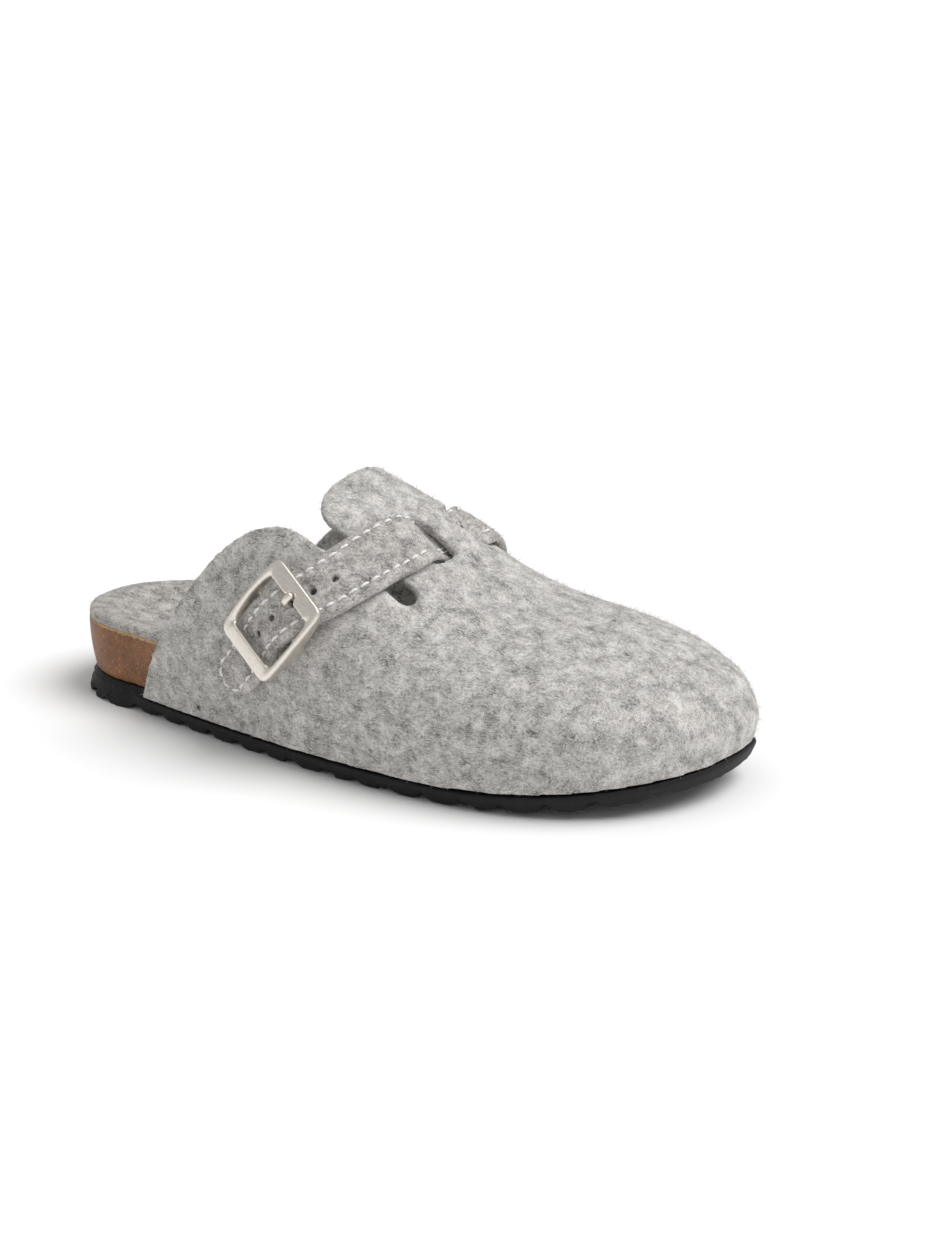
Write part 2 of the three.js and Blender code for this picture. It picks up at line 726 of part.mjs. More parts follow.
// The strap is swept along its line: a few steps round its tip, even steps beyond, and an end cut as the
// sole runs.
const tipSteps = 5;
const tipBlunt = 0.25;
const runSteps = 46;
function makeStrap() {
  const tipLength = strapTailWidth / 2;
  const steps = tipSteps + runSteps;
  const sweep = new THREE.ExtrudeGeometry(stripSection(strapWidth, strapThickness, strapEdgeRound), {
    depth: steps,
    steps,
    bevelEnabled: false,
  });
  const slant = Math.tan(Math.PI / 2 - tailAngle);
  const endSharpness = 8;
  const position = sweep.attributes.position;
  for (let i = 0; i < position.count; i += 1) {
    const step = Math.round(position.getZ(i));
    const turn = THREE.MathUtils.lerp(tipBlunt, Math.PI / 2, Math.min(step / tipSteps, 1));
    const across = position.getX(i) * Math.sin(turn);
    const along = Math.max(step - tipSteps, 0) / runSteps;
    const straight = along * (strapLength - tipLength);
    const run = tipLength * (1 - Math.cos(turn)) + straight + slant * across * along ** endSharpness;
    const laid = layStrap(run, across, position.getY(i));
    position.setXYZ(i, laid.x, laid.y, laid.z);
  }
  let strap = toSolid(sweep);
  for (let i = 0; i < strapHoleCount; i += 1) {
    strap = strap.subtract(strapHole(firstHoleFromTip + i * strapHolePitch));
  }
  return fromSolid(strap);
}

function strapHole(run) {
  const low = layStrap(run, 0, -strapThickness);
  const high = layStrap(run, 0, 2 * strapThickness);
  const hole = new THREE.CylinderGeometry(strapHoleRadius, strapHoleRadius, low.distanceTo(high), 10);
  const up = new THREE.Vector3().subVectors(high, low).normalize();
  hole.applyQuaternion(new THREE.Quaternion().setFromUnitVectors(new THREE.Vector3(0, 1, 0), up));
  hole.translate((low.x + high.x) / 2, (low.y + high.y) / 2, (low.z + high.z) / 2);
  return toSolid(hole);
}

// The slot that the strap passes through: as long as the strap's neck with some play, cut across the ridge.
const slotSteps = 4;
function strapEdgeX(edge, y) {
  let best = strapPoint(0, 0);
  for (let run = 0; run <= strapLength; run += 0.5) {
    const point = strapPoint(run, edge * (strapWidth / 2));
    if (Math.abs(point.y - y) < Math.abs(best.y - y)) best = point;
  }
  return best.x;
}
function slotHole(side) {
  const low = [];
  const high = [];
  for (let i = 0; i <= slotSteps; i += 1) {
    const y = side * (slotY + slotWidth * (i / slotSteps));
    const xs = [strapEdgeX(-1, y), strapEdgeX(1, y)].sort((a, b) => a - b);
    const round = i === 0 || i === slotSteps ? slotPlay : 0;
    low.push(new THREE.Vector2(xs[0] - slotPlay + round, y));
    high.push(new THREE.Vector2(xs[1] + slotPlay - round, y));
  }
  return makeCutter(new THREE.Shape([...low, ...high.reverse()]));
}

// Everything behind the wings and the tongue, which the foot goes in by.
function throatCutter() {
  const behindX = heelCentre - 8;
  const side = (sign) => [
    ...tongueEdge(sign),
    ...wingEdge(sign),
    new THREE.Vector2(wingFootX, sign * (ribLength(wingFootX, sign) + cutterReach)),
    new THREE.Vector2(behindX, sign * (ribLength(wingFootX, sign) + cutterReach)),
  ];
  return makeCutter(new THREE.Shape([...side(-1), ...side(1).reverse()]));
}

// The felt over the whole last from the heel's middle to the toe, as one closed sheet with a wall of its
// thickness and open below, before the openings are cut.
const ribShares = [0, 0.08, 0.17, 0.27, 0.37, 0.47, 0.57, 0.66, 0.74, 0.82, 0.89, 0.95, 1];
function makeUpperSheet() {
  const vertices = [];
  for (const off of [0, feltThickness]) {
    for (const sample of coveredSamples) {
      for (const share of ribShares) {
        const flat = sample.flatAt(share);
        vertices.push(...offLast(flat.x, flat.y, off).toArray());
      }
    }
  }
  const down = ribShares.length;
  const layer = coveredSamples.length * down;
  const faces = [];
  const addQuad = (a, b, c, d) => faces.push(a, b, c, a, c, d);
  for (let i = 0; i < coveredSamples.length - 1; i += 1) {
    const here = i * down;
    const next = here + down;
    for (let j = 0; j < down - 1; j += 1) {
      addQuad(here + j, next + j, next + j + 1, here + j + 1);
      addQuad(layer + here + j + 1, layer + next + j + 1, layer + next + j, layer + here + j);
    }
    addQuad(here + down - 1, next + down - 1, layer + next + down - 1, layer + here + down - 1);
  }
  const end = (coveredSamples.length - 1) * down;
  for (let j = 0; j < down - 1; j += 1) {
    addQuad(j, j + 1, layer + j + 1, layer + j);
    addQuad(end + j + 1, end + j, layer + end + j, layer + end + j + 1);
  }
  const geometry = new THREE.BufferGeometry();
  geometry.setAttribute("position", new THREE.Float32BufferAttribute(vertices, 3));
  geometry.setIndex(faces);
  return toSolid(geometry);
}

function makeUpper() {
  return fromSolid(makeUpperSheet().subtract(throatCutter()).subtract(slotHole(-1)).subtract(slotHole(1)));
}

// The buckle stands on the strap's middle line: u along the strap towards its tip, v across it, w outwards.
function buckleMatrix() {
  const place = strapPoint(buckleFromTip, 0);
  const step = 6;
  const before = strapPoint(buckleFromTip + step, 0);
  const after = strapPoint(buckleFromTip - step, 0);
  const w = lastNormal(place.x, place.y);
  const u = offLast(after.x, after.y, axleHeight).sub(offLast(before.x, before.y, axleHeight));
  u.addScaledVector(w, -u.dot(w)).normalize().applyAxisAngle(w, THREE.MathUtils.degToRad(buckleTurn));
  const v = new THREE.Vector3().crossVectors(w, u);
  const middle = offLast(place.x, place.y, axleHeight).addScaledVector(v, buckleAside);
  return new THREE.Matrix4().makeBasis(u, v, w).setPosition(middle);
}

// A rectangle with its corners cut by arcs.
function roundedRectangle(length, width, round) {
  const [x, y] = [length / 2, width / 2];
  const shape = new THREE.Shape();
  shape.moveTo(-x + round, -y);
  shape.absarc(x - round, -y + round, round, -Math.PI / 2, 0, false);
  shape.absarc(x - round, y - round, round, 0, Math.PI / 2, false);
  shape.absarc(-x + round, y - round, round, Math.PI / 2, Math.PI, false);
  shape.absarc(-x + round, -y + round, round, Math.PI, Math.PI * 1.5, false);
  return shape;
}

// The frame: two flat bars, tilted to the foot's curve, and two side rails that deepen to hold the axle.
const railSteps = 8;
function makeBuckleFrame() {
  const outerWidth = buckleInnerWidth + 2 * buckleRailWidth;
  const middle = buckleClearance;
  const makeBar = (width, u) => {
    const section = roundedRectangle(width, buckleThickness, buckleBevel);
    const bar = new THREE.ExtrudeGeometry(section, { depth: outerWidth, bevelEnabled: false, curveSegments: 1 });
    bar.translate(0, 0, -outerWidth / 2);
    bar.rotateX(Math.PI / 2);
    bar.rotateY(Math.sign(u) * THREE.MathUtils.degToRad(buckleBarTilt));
    bar.translate(u, 0, middle);
    return toSolid(bar);
  };
  const halfLength = buckleLength / 2 - buckleThickness / 2;
  const railTop = (u) => middle + buckleThickness / 2 + railArch * (1 - (u / halfLength) ** 2);
  const railFoot = (u) => {
    const share = smoothStep(0, halfLength - buckleLowerBarWidth / 2, Math.abs(u));
    return THREE.MathUtils.lerp(-axleRadius - railUnderAxle, middle - buckleThickness / 2, share);
  };
  const makeRail = (sign) => {
    const section = roundedRectangle(buckleRailWidth, 1, railRound);
    const rail = new THREE.ExtrudeGeometry(section, {
      depth: 2 * halfLength,
      steps: railSteps,
      bevelEnabled: false,
      curveSegments: 1,
    });
    rail.translate(0, 0, -halfLength);
    const position = rail.attributes.position;
    for (let i = 0; i < position.count; i += 1) {
      const u = position.getZ(i);
      const v = position.getX(i) + (sign * (buckleInnerWidth + buckleRailWidth)) / 2;
      const w = THREE.MathUtils.lerp(railFoot(u), railTop(u), position.getY(i) + 1 / 2);
      position.setXYZ(i, u, v, w);
    }
    return toSolid(rail);
  };
  const axle = new THREE.CylinderGeometry(axleRadius, axleRadius, buckleInnerWidth + buckleRailWidth, 12);
  const outline = roundedRectangle(buckleLength, outerWidth, buckleCornerRadius);
  const corners = new THREE.ExtrudeGeometry(outline, {
    depth: 6 * middle,
    bevelEnabled: false,
    curveSegments: 4,
  });
  corners.translate(0, 0, -3 * middle);
  const frame = makeBar(buckleUpperBarWidth, (buckleUpperBarWidth - buckleLength) / 2)
    .add(makeBar(buckleLowerBarWidth, (buckleLength - buckleLowerBarWidth) / 2))
    .add(makeRail(-1))
    .add(makeRail(1))
    .add(toSolid(axle));
  return fromSolid(frame.intersect(toSolid(corners)));
}

// A bent strip of even thickness as a shape, from the points of its middle line.
function stripShape(points, thickness) {
  const left = [];
  const right = [];
  points.forEach((point, i) => {
    const before = points[Math.max(i - 1, 0)];
    const after = points[Math.min(i + 1, points.length - 1)];
    const ahead = new THREE.Vector2().subVectors(after, before).normalize();
    const aside = new THREE.Vector2(-ahead.y, ahead.x).multiplyScalar(thickness / 2);
    left.push(new THREE.Vector2().addVectors(point, aside));
    right.push(new THREE.Vector2().subVectors(point, aside));
  });
  return new THREE.Shape([...left, ...right.reverse()]);
}

// The prong hooks over the axle, runs under the strap, comes up through a hole and rests on the upper bar.
const hookSteps = 6;
const hookTurn = THREE.MathUtils.degToRad(104);
function makeProng() {
  const half = prongThickness / 2;
  const hookRadius = axleRadius + gap + half;
  const line = [];
  for (let i = 0; i <= hookSteps; i += 1) {
    const angle = (hookTurn * i) / hookSteps;
    line.push(new THREE.Vector2(hookRadius * Math.cos(angle), hookRadius * Math.sin(angle)));
  }
  const toBuckle = buckleMatrix().invert();
  const holeRun = firstHoleFromTip + prongHole * strapHolePitch;
  const low = layStrap(holeRun, 0, 0).applyMatrix4(toBuckle);
  const high = layStrap(holeRun, 0, strapThickness).applyMatrix4(toBuckle);
  const underStrap = low.z - gap - half;
  const tipU = (buckleUpperBarWidth - buckleLength) / 2;
  const barSlope = Math.tan(THREE.MathUtils.degToRad(buckleBarTilt));
  const overBar = (u) => buckleClearance + buckleThickness / 2 + gap + half + (u - tipU) * barSlope;
  const bendU = high.x - 3 * half;
  line.push(new THREE.Vector2(low.x * 0.55, THREE.MathUtils.lerp(hookRadius, underStrap, 0.6)));
  line.push(new THREE.Vector2(low.x + 2 * half, underStrap));
  line.push(new THREE.Vector2(low.x, low.z));
  line.push(new THREE.Vector2(high.x, high.z));
  line.push(new THREE.Vector2(high.x - half, overBar(bendU) - half));
  line.push(new THREE.Vector2(bendU, overBar(bendU)));
  line.push(new THREE.Vector2(tipU, overBar(tipU)));
  const strip = new THREE.ExtrudeGeometry(stripShape(line, prongThickness), {
    depth: prongWidth,
    bevelEnabled: false,
  });
  strip.translate(0, 0, -prongWidth / 2);
  strip.rotateX(Math.PI / 2);
  strip.translate(0, (low.y + high.y) / 2, 0);
  return tidyGeometry(strip);
}

const felt = { color: 0xa9a6a2, roughness: 0.95, metalness: 0 };
const cork = { color: 0x8a5a3a, roughness: 0.8, metalness: 0 };
const foam = { color: 0x2b2825, roughness: 0.85, metalness: 0 };
const nickel = { color: 0xb9b1a8, roughness: 0.35, metalness: 1 };

const clog = new THREE.Group();
function addPiece(name, geometry, finish, matrix) {
  geometry.computeVertexNormals();
  const mesh = new THREE.Mesh(geometry, new THREE.MeshStandardMaterial(finish));
  mesh.name = name;
  if (matrix) mesh.applyMatrix4(matrix);
  clog.add(mesh);
}
addPiece("outsole", makeOutsole(), foam);
addPiece("footbed", makeFootbed(), cork);
addPiece("lining", makeLining(), felt);
addPiece("upper", makeUpper(), felt);
addPiece("strap", makeStrap(), felt);
addPiece("buckle_frame", makeBuckleFrame(), nickel, buckleMatrix());
addPiece("buckle_prong", makeProng(), nickel, buckleMatrix());

const box = new THREE.Box3().setFromObject(clog, true);
clog.position.set(-(box.min.x + box.max.x) / 2, -(box.min.y + box.max.y) / 2, -box.min.z);

export default clog;
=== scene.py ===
# A grey felt clog slipper for the right foot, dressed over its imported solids: combed felt with loose hairs,
# a sewn strap with punched holes, a satin nickel buckle, a cork footbed and a black foam outsole.
# Metres. +X to the toe, +Y to the inner side, +Z up.

import math

import bmesh
import bpy
import numpy as np
from mathutils import Matrix, Vector, kdtree, noise
from mathutils.bvhtree import BVHTree


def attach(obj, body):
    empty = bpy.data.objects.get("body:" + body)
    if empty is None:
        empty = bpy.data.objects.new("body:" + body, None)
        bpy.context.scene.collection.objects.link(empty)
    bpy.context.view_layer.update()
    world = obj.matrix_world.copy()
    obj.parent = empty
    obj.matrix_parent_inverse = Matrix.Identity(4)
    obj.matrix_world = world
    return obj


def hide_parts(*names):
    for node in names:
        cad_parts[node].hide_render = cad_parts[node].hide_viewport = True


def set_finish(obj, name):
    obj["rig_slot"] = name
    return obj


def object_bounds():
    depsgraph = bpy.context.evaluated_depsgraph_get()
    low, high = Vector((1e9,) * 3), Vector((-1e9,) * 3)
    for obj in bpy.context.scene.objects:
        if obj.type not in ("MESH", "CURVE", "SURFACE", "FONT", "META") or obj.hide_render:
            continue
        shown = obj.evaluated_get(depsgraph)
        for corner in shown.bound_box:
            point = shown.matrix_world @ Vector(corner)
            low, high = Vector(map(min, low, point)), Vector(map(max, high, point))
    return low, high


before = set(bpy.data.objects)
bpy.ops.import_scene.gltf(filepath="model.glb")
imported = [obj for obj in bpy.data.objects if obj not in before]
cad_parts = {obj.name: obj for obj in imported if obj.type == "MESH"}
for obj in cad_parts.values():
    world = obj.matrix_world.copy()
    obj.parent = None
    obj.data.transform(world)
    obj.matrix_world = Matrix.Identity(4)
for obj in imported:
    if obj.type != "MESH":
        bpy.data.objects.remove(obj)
cad_low, cad_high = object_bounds()

MM = 0.001
RANDOM_SEED = 11

# Camera, matched to the photograph. The azimuth turns from the outer side towards the toe.
CAMERA_AZIMUTH = math.radians(31.6)
CAMERA_ELEVATION = math.radians(17.6)
CAMERA_DISTANCE = 900 * MM
CAMERA_TARGET = Vector((-0.6, 6.5, 30)) * MM
CAMERA_SLIDE_RIGHT = 26 * MM
CAMERA_SLIDE_UP = 11 * MM
SENSOR = 36
FLOOR_HALF = 40
FOCAL_LENGTH_PX = 2560
PHOTO_WIDTH_PX, PHOTO_HEIGHT_PX = 950, 1234

# Light: an even white surround, and a window's light from the toe's side.
SURROUND_LIGHT = 0.5
SUN_POWER = 2.3
SUN_AZIMUTH = math.radians(108)
SUN_ELEVATION = math.radians(57)
SUN_SPREAD = math.radians(45)

# Felt. Voxel sizes set how finely each copied solid is rebuilt before it is smoothed.
UPPER_VOXEL = 1.0 * MM
STRAP_VOXEL = 0.55 * MM
LINING_VOXEL = 0.9 * MM
CORK_VOXEL = 1.0 * MM
SOLE_VOXEL = 0.85 * MM
FELT_LUMP = 0.22 * MM
FELT_LUMP_SIZE = 9 * MM
FELT_NAP = 0.07 * MM
FELT_NAP_SIZE = 1.6 * MM

# The drawn fibres: tufts in several directions, each with its length, slimness and bend.
FIBRE_TURNS = ((0, 0, 15), (0, 50, 80), (35, 20, 140), (70, 0, 50))
FIBRE_LENGTH_MM = 2.8
FIBRE_SLIM = 8
FIBRE_BEND = 3 * MM
FIBRE_RELIEF = 0.3 * MM

# Two small pits painted dark as painted shade, with no hollow in the mesh: one near the hem and a needle hole
# on the instep, in millimetres, and their radii.
PIT_SHADE_SPOTS = (((-56, -39.4, 11.2), 1.6), ((17, 19, 74), 1.1))

# Creases beside the slot, where the instep bends, in millimetres: each a line over the felt, and its depth.
# The slot's rear corner is where strap and upper are pressed together.
CREASES = (
    (((22.3, 7.1, 69.4), (28, 9, 66.5), (34, 11.5, 63.5), (41, 13, 60)), 1.1),
    (((24, 2.5, 68.6), (30, 1.6, 65.3), (37, 0.6, 61.6)), 1),
    (((25, -6, 67), (31, -10, 63), (38, -16, 58)), 0.9),
    (((18, -22, 67.4), (20.8, -17, 67.6), (23.2, -11, 67.5), (27, -7, 65.7)), 0.9),
)
CREASE_STEPS = 40
CREASE_HALF_WIDTH = 1.7 * MM
CREASE_RIDGE = 0.8
CREASE_FADE = 0.7
SLOT_CORNER = (6, 2, 78)
SLOT_REACH = 7 * MM
SLOT_SAG = 1.5 * MM
STRAP_RISE = 1.3 * MM

# The lining is glued down by this much, and the cork's bare rim reaches this far from it.
GLUE_DEPTH = 0.8 * MM
RIM_REACH = 1.6 * MM

# Sole, in the shoe's own sizes from its heel. The bulges are the solid's own, at those heights of its side.
SOLE_MIDDLE_Y = 6.5 * MM
SOLE_LENGTH = 256.5 * MM
SOLE_THICKNESS = 8.5 * MM
TOE_SPRING = 8.5 * MM
SPRING_START = 0.66
HEEL_CENTRE = 35 * MM
HEEL_HALF = 32 * MM
HEEL_BARE_END = 43 * MM
HEEL_SLOPE = 3.2 * MM
HEEL_RIM = 4 * MM
SOLE_HEIGHTS = [0, 2.2 * MM, 4.4 * MM, 6 * MM, 6.2 * MM, 8.5 * MM]
SOLE_BULGES = [0.8 * MM, 2.6 * MM, 2.6 * MM, 1.3 * MM, 0.3 * MM, 0]
LUG_PITCH = 14 * MM
LUG_LEAN = 0.12
LUG_DEPTH = 2.2 * MM
LUG_HEIGHT = 4 * MM

# Buckle, in its own axes. Its rails bow outwards, stand deeper in the middle, and hold the axle in small ears.
# The prong's route runs from the axle to the upper bar, in millimetres along and above the axle.
BUCKLE_UPPER_BAR = 6 * MM
BUCKLE_LOWER_BAR = 5.4 * MM
BUCKLE_RAIL = 2.6 * MM
BUCKLE_HALF_LENGTH = 17 * MM
BUCKLE_HALF_WIDTH = 13.5 * MM
BAR_HEIGHT = 5.2 * MM
BAR_THICKNESS = 1.9 * MM
BAR_TILT = math.radians(9)
RAIL_ARCH = 0.8 * MM
RAIL_DEPTH = 4 * MM
RAIL_BOW = 0.9 * MM
EAR_LENGTH = 1.7 * MM
AXLE_RADIUS = 0.9 * MM
AXLE_OVER_FOOT = 1.3 * MM
CORNER_SQUARENESS = 11
BAR_SQUARENESS = 6
RAIL_SQUARENESS = 2.5
PATH_STEPS = 90
BUCKLE_STEP = 0.6 * MM
SECTION_STEPS = 24
PRONG_ROUTE = (
    (1.7, -0.6), (1.7, 0.6), (0.8, 1.7), (-0.8, 1.9), (-4, 2.1), (-7.4, 2.5), (-8.4, 3.6), (-8.7, 5.2),
    (-9.5, 6.9), (-11, 7.5), (-13.9, 7.3),
)
PRONG_STEP = 0.2 * MM
PRONG_END = 1 * MM
PRONG_HALF_WIDTH = 1.35 * MM
PRONG_HALF_THICKNESS = 1.05 * MM
PRONG_POINTS = 200
PRONG_TIP_SHARE = 0.03
AXLE_STEPS = 20
NOTCH_DEPTH = 2.4 * MM
NOTCH_HALF_WIDTH = 1.9 * MM

# Strap and its stitching. The guide runs near the strap's middle from tip to sewn end, in millimetres.
STRAP_GUIDE = (
    (-40, -48, 25), (-25, -50, 45), (-10, -47, 60), (5, -38, 72), (14, -24, 80),
    (14, 30, 79), (3, 42, 68), (-8, 48, 52), (-20, 50, 30),
)
STITCH_INSET = 3.6 * MM
STITCH_PITCH = 4.5 * MM
STITCH_LENGTH = 3.3 * MM
STITCH_RADIUS = 0.5 * MM
STITCH_ARCH = 0.34 * MM
STITCH_HUMP = 1.6
STITCH_TAPER = 0.45
STITCH_DIMPLE = 0.35 * MM
STITCH_DIMPLE_REACH = 1.3 * MM

# Loose hairs that stand out of the felt. Real ones are 0.03 mm thick; these are coarser, to show.
HAIR_RADIUS = 0.045 * MM
HAIR_LENGTH = 1.9 * MM
HAIR_TIP = 0.4
HAIR_BEND = 0.35
HAIR_ROOT = 0.1 * MM
HAIR_RISES = (0.15, 0.75)
HAIR_SIZES = (0.45, 1.25)
HEM_TURN = -0.25
UPPER_HAIRS = 13000
STRAP_HAIRS = 3000
LINING_HAIRS = 2500


def to_linear(hex_colour):
    """An sRGB hex colour as the linear colour that a socket takes."""
    channels = [int(hex_colour[i:i + 2], 16) / 255 for i in (1, 3, 5)]
    linear = [c / 12.92 if c <= 0.04045 else ((c + 0.055) / 1.055) ** 2.4 for c in channels]
    return (*linear, 1)


def add_node(tree, kind, settings=None, inputs=None):
    """Adds a node, sets its properties, and fills or links its sockets, named or numbered."""
    node = tree.nodes.new(kind)
    for name, value in (settings or {}).items():
        setattr(node, name, value)
    for socket, value in (inputs or {}).items():
        if isinstance(value, bpy.types.NodeSocket):
            tree.links.new(value, node.inputs[socket])
        else:
            node.inputs[socket].default_value = value
    return node


def new_material(name):
    """A node material with only its shader and output, and the Object coordinates."""
    material = bpy.data.materials.new(name)
    material.use_nodes = True
    tree = material.node_tree
    tree.nodes.clear()
    shader = add_node(tree, "ShaderNodeBsdfPrincipled")
    add_node(tree, "ShaderNodeOutputMaterial", inputs={"Surface": shader.outputs[0]})
    place = add_node(tree, "ShaderNodeTexCoord").outputs["Object"]
    return material, tree, shader, place


def per_metre(size_mm):
    """A noise texture's scale for features of a real size."""
    return 1 / (size_mm * MM)


# Materials

def heather_felt(name, light, middle, dark):
    """Needled wool felt of mixed grey fibres: faint clouds under a mat of short bent fibres, pale and dark, on
    a dull nap. A fibre is 0.03 mm thick; the drawn ones are tufts of 0.4 mm, to show."""
    material, tree, shader, place = new_material(name)
    warp = add_node(tree, "ShaderNodeTexNoise", inputs={
        "Vector": place, "Scale": per_metre(4.5), "Detail": 2})
    bent = add_node(tree, "ShaderNodeVectorMath", {"operation": "MULTIPLY_ADD"}, {
        0: warp.outputs["Color"], 1: (FIBRE_BEND,) * 3, 2: place})
    clouds = add_node(tree, "ShaderNodeTexNoise", inputs={
        "Vector": bent.outputs[0], "Scale": per_metre(5.5), "Detail": 5, "Roughness": 0.68})
    grain = add_node(tree, "ShaderNodeTexNoise", inputs={
        "Vector": bent.outputs[0], "Scale": per_metre(0.9), "Detail": 3, "Roughness": 0.6})
    mottle = add_node(tree, "ShaderNodeMath", {"operation": "MULTIPLY_ADD"}, {
        0: grain.outputs["Fac"], 1: 0.5, 2: clouds.outputs["Fac"]})
    palest = darkest = None
    for turn in FIBRE_TURNS:
        laid = add_node(tree, "ShaderNodeMapping", inputs={
            "Vector": bent.outputs[0], "Rotation": [math.radians(angle) for angle in turn],
            "Scale": (1, FIBRE_SLIM, FIBRE_SLIM)})
        layer = add_node(tree, "ShaderNodeTexNoise", inputs={
            "Vector": laid.outputs[0], "Scale": per_metre(FIBRE_LENGTH_MM), "Detail": 2}).outputs["Fac"]
        if palest is None:
            palest = darkest = layer
            continue
        palest = add_node(tree, "ShaderNodeMath", {"operation": "MAXIMUM"}, {0: palest, 1: layer}).outputs[0]
        darkest = add_node(tree, "ShaderNodeMath", {"operation": "MINIMUM"}, {
            0: darkest, 1: layer}).outputs[0]
    ramp = add_node(tree, "ShaderNodeValToRGB", inputs={"Fac": mottle.outputs[0]})
    ramp.color_ramp.elements[0].position = 0.52
    ramp.color_ramp.elements[0].color = to_linear(dark)
    ramp.color_ramp.elements[1].position = 0.94
    ramp.color_ramp.elements[1].color = to_linear(light)
    ramp.color_ramp.elements.new(0.72).color = to_linear(middle)
    pale_share = add_node(tree, "ShaderNodeMapRange", inputs={
        "Value": palest, "From Min": 0.6, "From Max": 0.7, "To Min": 0, "To Max": 0.85})
    dark_share = add_node(tree, "ShaderNodeMapRange", inputs={
        "Value": darkest, "From Min": 0.38, "From Max": 0.27, "To Min": 0, "To Max": 0.8})
    paler = add_node(tree, "ShaderNodeMix", {"data_type": "RGBA"}, {
        "Factor": pale_share.outputs[0], "A": ramp.outputs["Color"], "B": to_linear(light)})
    darker = add_node(tree, "ShaderNodeMix", {"data_type": "RGBA"}, {
        "Factor": dark_share.outputs[0], "A": paler.outputs[2], "B": to_linear(dark)})
    tree.links.new(darker.outputs[2], shader.inputs["Base Color"])
    relief = add_node(tree, "ShaderNodeMath", {"operation": "ADD"}, {0: palest, 1: darkest})
    bump = add_node(tree, "ShaderNodeBump", inputs={
        "Height": relief.outputs[0], "Strength": 0.55, "Distance": FIBRE_RELIEF})
    tree.links.new(bump.outputs[0], shader.inputs["Normal"])
    shader.inputs["Roughness"].default_value = 0.95
    shader.inputs["Specular IOR Level"].default_value = 0.15
    shader.inputs["Sheen Weight"].default_value = 0.25
    shader.inputs["Sheen Roughness"].default_value = 0.5
    return material


def paint_pit_shade(material):
    """Painted shade of small pits on the felt of the upper: dark spots, each at its place with its radius."""
    tree = material.node_tree
    shader = next(node for node in tree.nodes if node.type == "BSDF_PRINCIPLED")
    place = next(node for node in tree.nodes if node.type == "TEX_COORD").outputs["Object"]
    colour = shader.inputs["Base Color"].links[0].from_socket
    # Each spot is mixed towards near-black: painted shade of a pit.
    for spot, radius in PIT_SHADE_SPOTS:
        away = add_node(tree, "ShaderNodeVectorMath", {"operation": "DISTANCE"}, {
            0: place, 1: [c * MM for c in spot]})
        share = add_node(tree, "ShaderNodeMapRange", inputs={
            "Value": away.outputs["Value"], "From Min": radius * MM, "From Max": radius * MM / 2,
            "To Max": 0.9})
        colour = add_node(tree, "ShaderNodeMix", {"data_type": "RGBA"}, {
            "Factor": share.outputs[0], "A": colour, "B": to_linear("#141312")}).outputs[2]
    tree.links.new(colour, shader.inputs["Base Color"])


def pressed_cork():
    """Granulated cork pressed with a binder, cut and sealed: brown grains of 1 to 2 mm with golden specks, and
    a pale frayed line where the rim lies bare under the lining."""
    material, tree, shader, place = new_material("pressed_cork_sealed")
    grains = add_node(tree, "ShaderNodeTexVoronoi", {"feature": "F1"}, {
        "Vector": place, "Scale": per_metre(1.3)})
    grain_tone = add_node(tree, "ShaderNodeSeparateColor", inputs={0: grains.outputs["Color"]})
    clouds = add_node(tree, "ShaderNodeTexNoise", inputs={
        "Vector": place, "Scale": per_metre(9), "Detail": 5})
    tone = add_node(tree, "ShaderNodeMath", {"operation": "MULTIPLY_ADD"}, {
        0: grain_tone.outputs[0], 1: 0.35, 2: clouds.outputs["Fac"]})
    ramp = add_node(tree, "ShaderNodeValToRGB", inputs={"Fac": tone.outputs[0]})
    ramp.color_ramp.elements[0].position = 0.35
    ramp.color_ramp.elements[0].color = to_linear("#5C3410")
    ramp.color_ramp.elements[1].position = 1.0
    ramp.color_ramp.elements[1].color = to_linear("#8A5420")
    specks = add_node(tree, "ShaderNodeTexNoise", inputs={
        "Vector": place, "Scale": per_metre(0.7), "Detail": 3})
    bright = add_node(tree, "ShaderNodeMapRange", inputs={
        "Value": specks.outputs["Fac"], "From Min": 0.62, "From Max": 0.72, "To Min": 0, "To Max": 0.75})
    colour = add_node(tree, "ShaderNodeMix", {"data_type": "RGBA"}, {
        "Factor": bright.outputs[0], "A": ramp.outputs["Color"], "B": to_linear("#D8A55A")})
    rim = add_node(tree, "ShaderNodeAttribute", {"attribute_name": "rim"})
    frayed = add_node(tree, "ShaderNodeMath", {"operation": "MULTIPLY_ADD"}, {
        0: specks.outputs["Fac"], 1: 1.6, 2: -0.8})
    bare = add_node(tree, "ShaderNodeMath", {"operation": "ADD"}, {
        0: rim.outputs["Fac"], 1: frayed.outputs[0]})
    bare_share = add_node(tree, "ShaderNodeMapRange", inputs={
        "Value": bare.outputs[0], "From Min": 0.25, "From Max": 0.55, "To Min": 0, "To Max": 0.85})
    rimmed = add_node(tree, "ShaderNodeMix", {"data_type": "RGBA"}, {
        "Factor": bare_share.outputs[0], "A": colour.outputs[2], "B": to_linear("#BE9F74")})
    tree.links.new(rimmed.outputs[2], shader.inputs["Base Color"])
    bump = add_node(tree, "ShaderNodeBump", inputs={
        "Height": grains.outputs["Distance"], "Strength": 0.35, "Distance": 0.15 * MM})
    tree.links.new(bump.outputs[0], shader.inputs["Normal"])
    shader.inputs["Roughness"].default_value = 0.5
    shader.inputs["Coat Weight"].default_value = 0.06
    shader.inputs["Coat Roughness"].default_value = 0.4
    return material


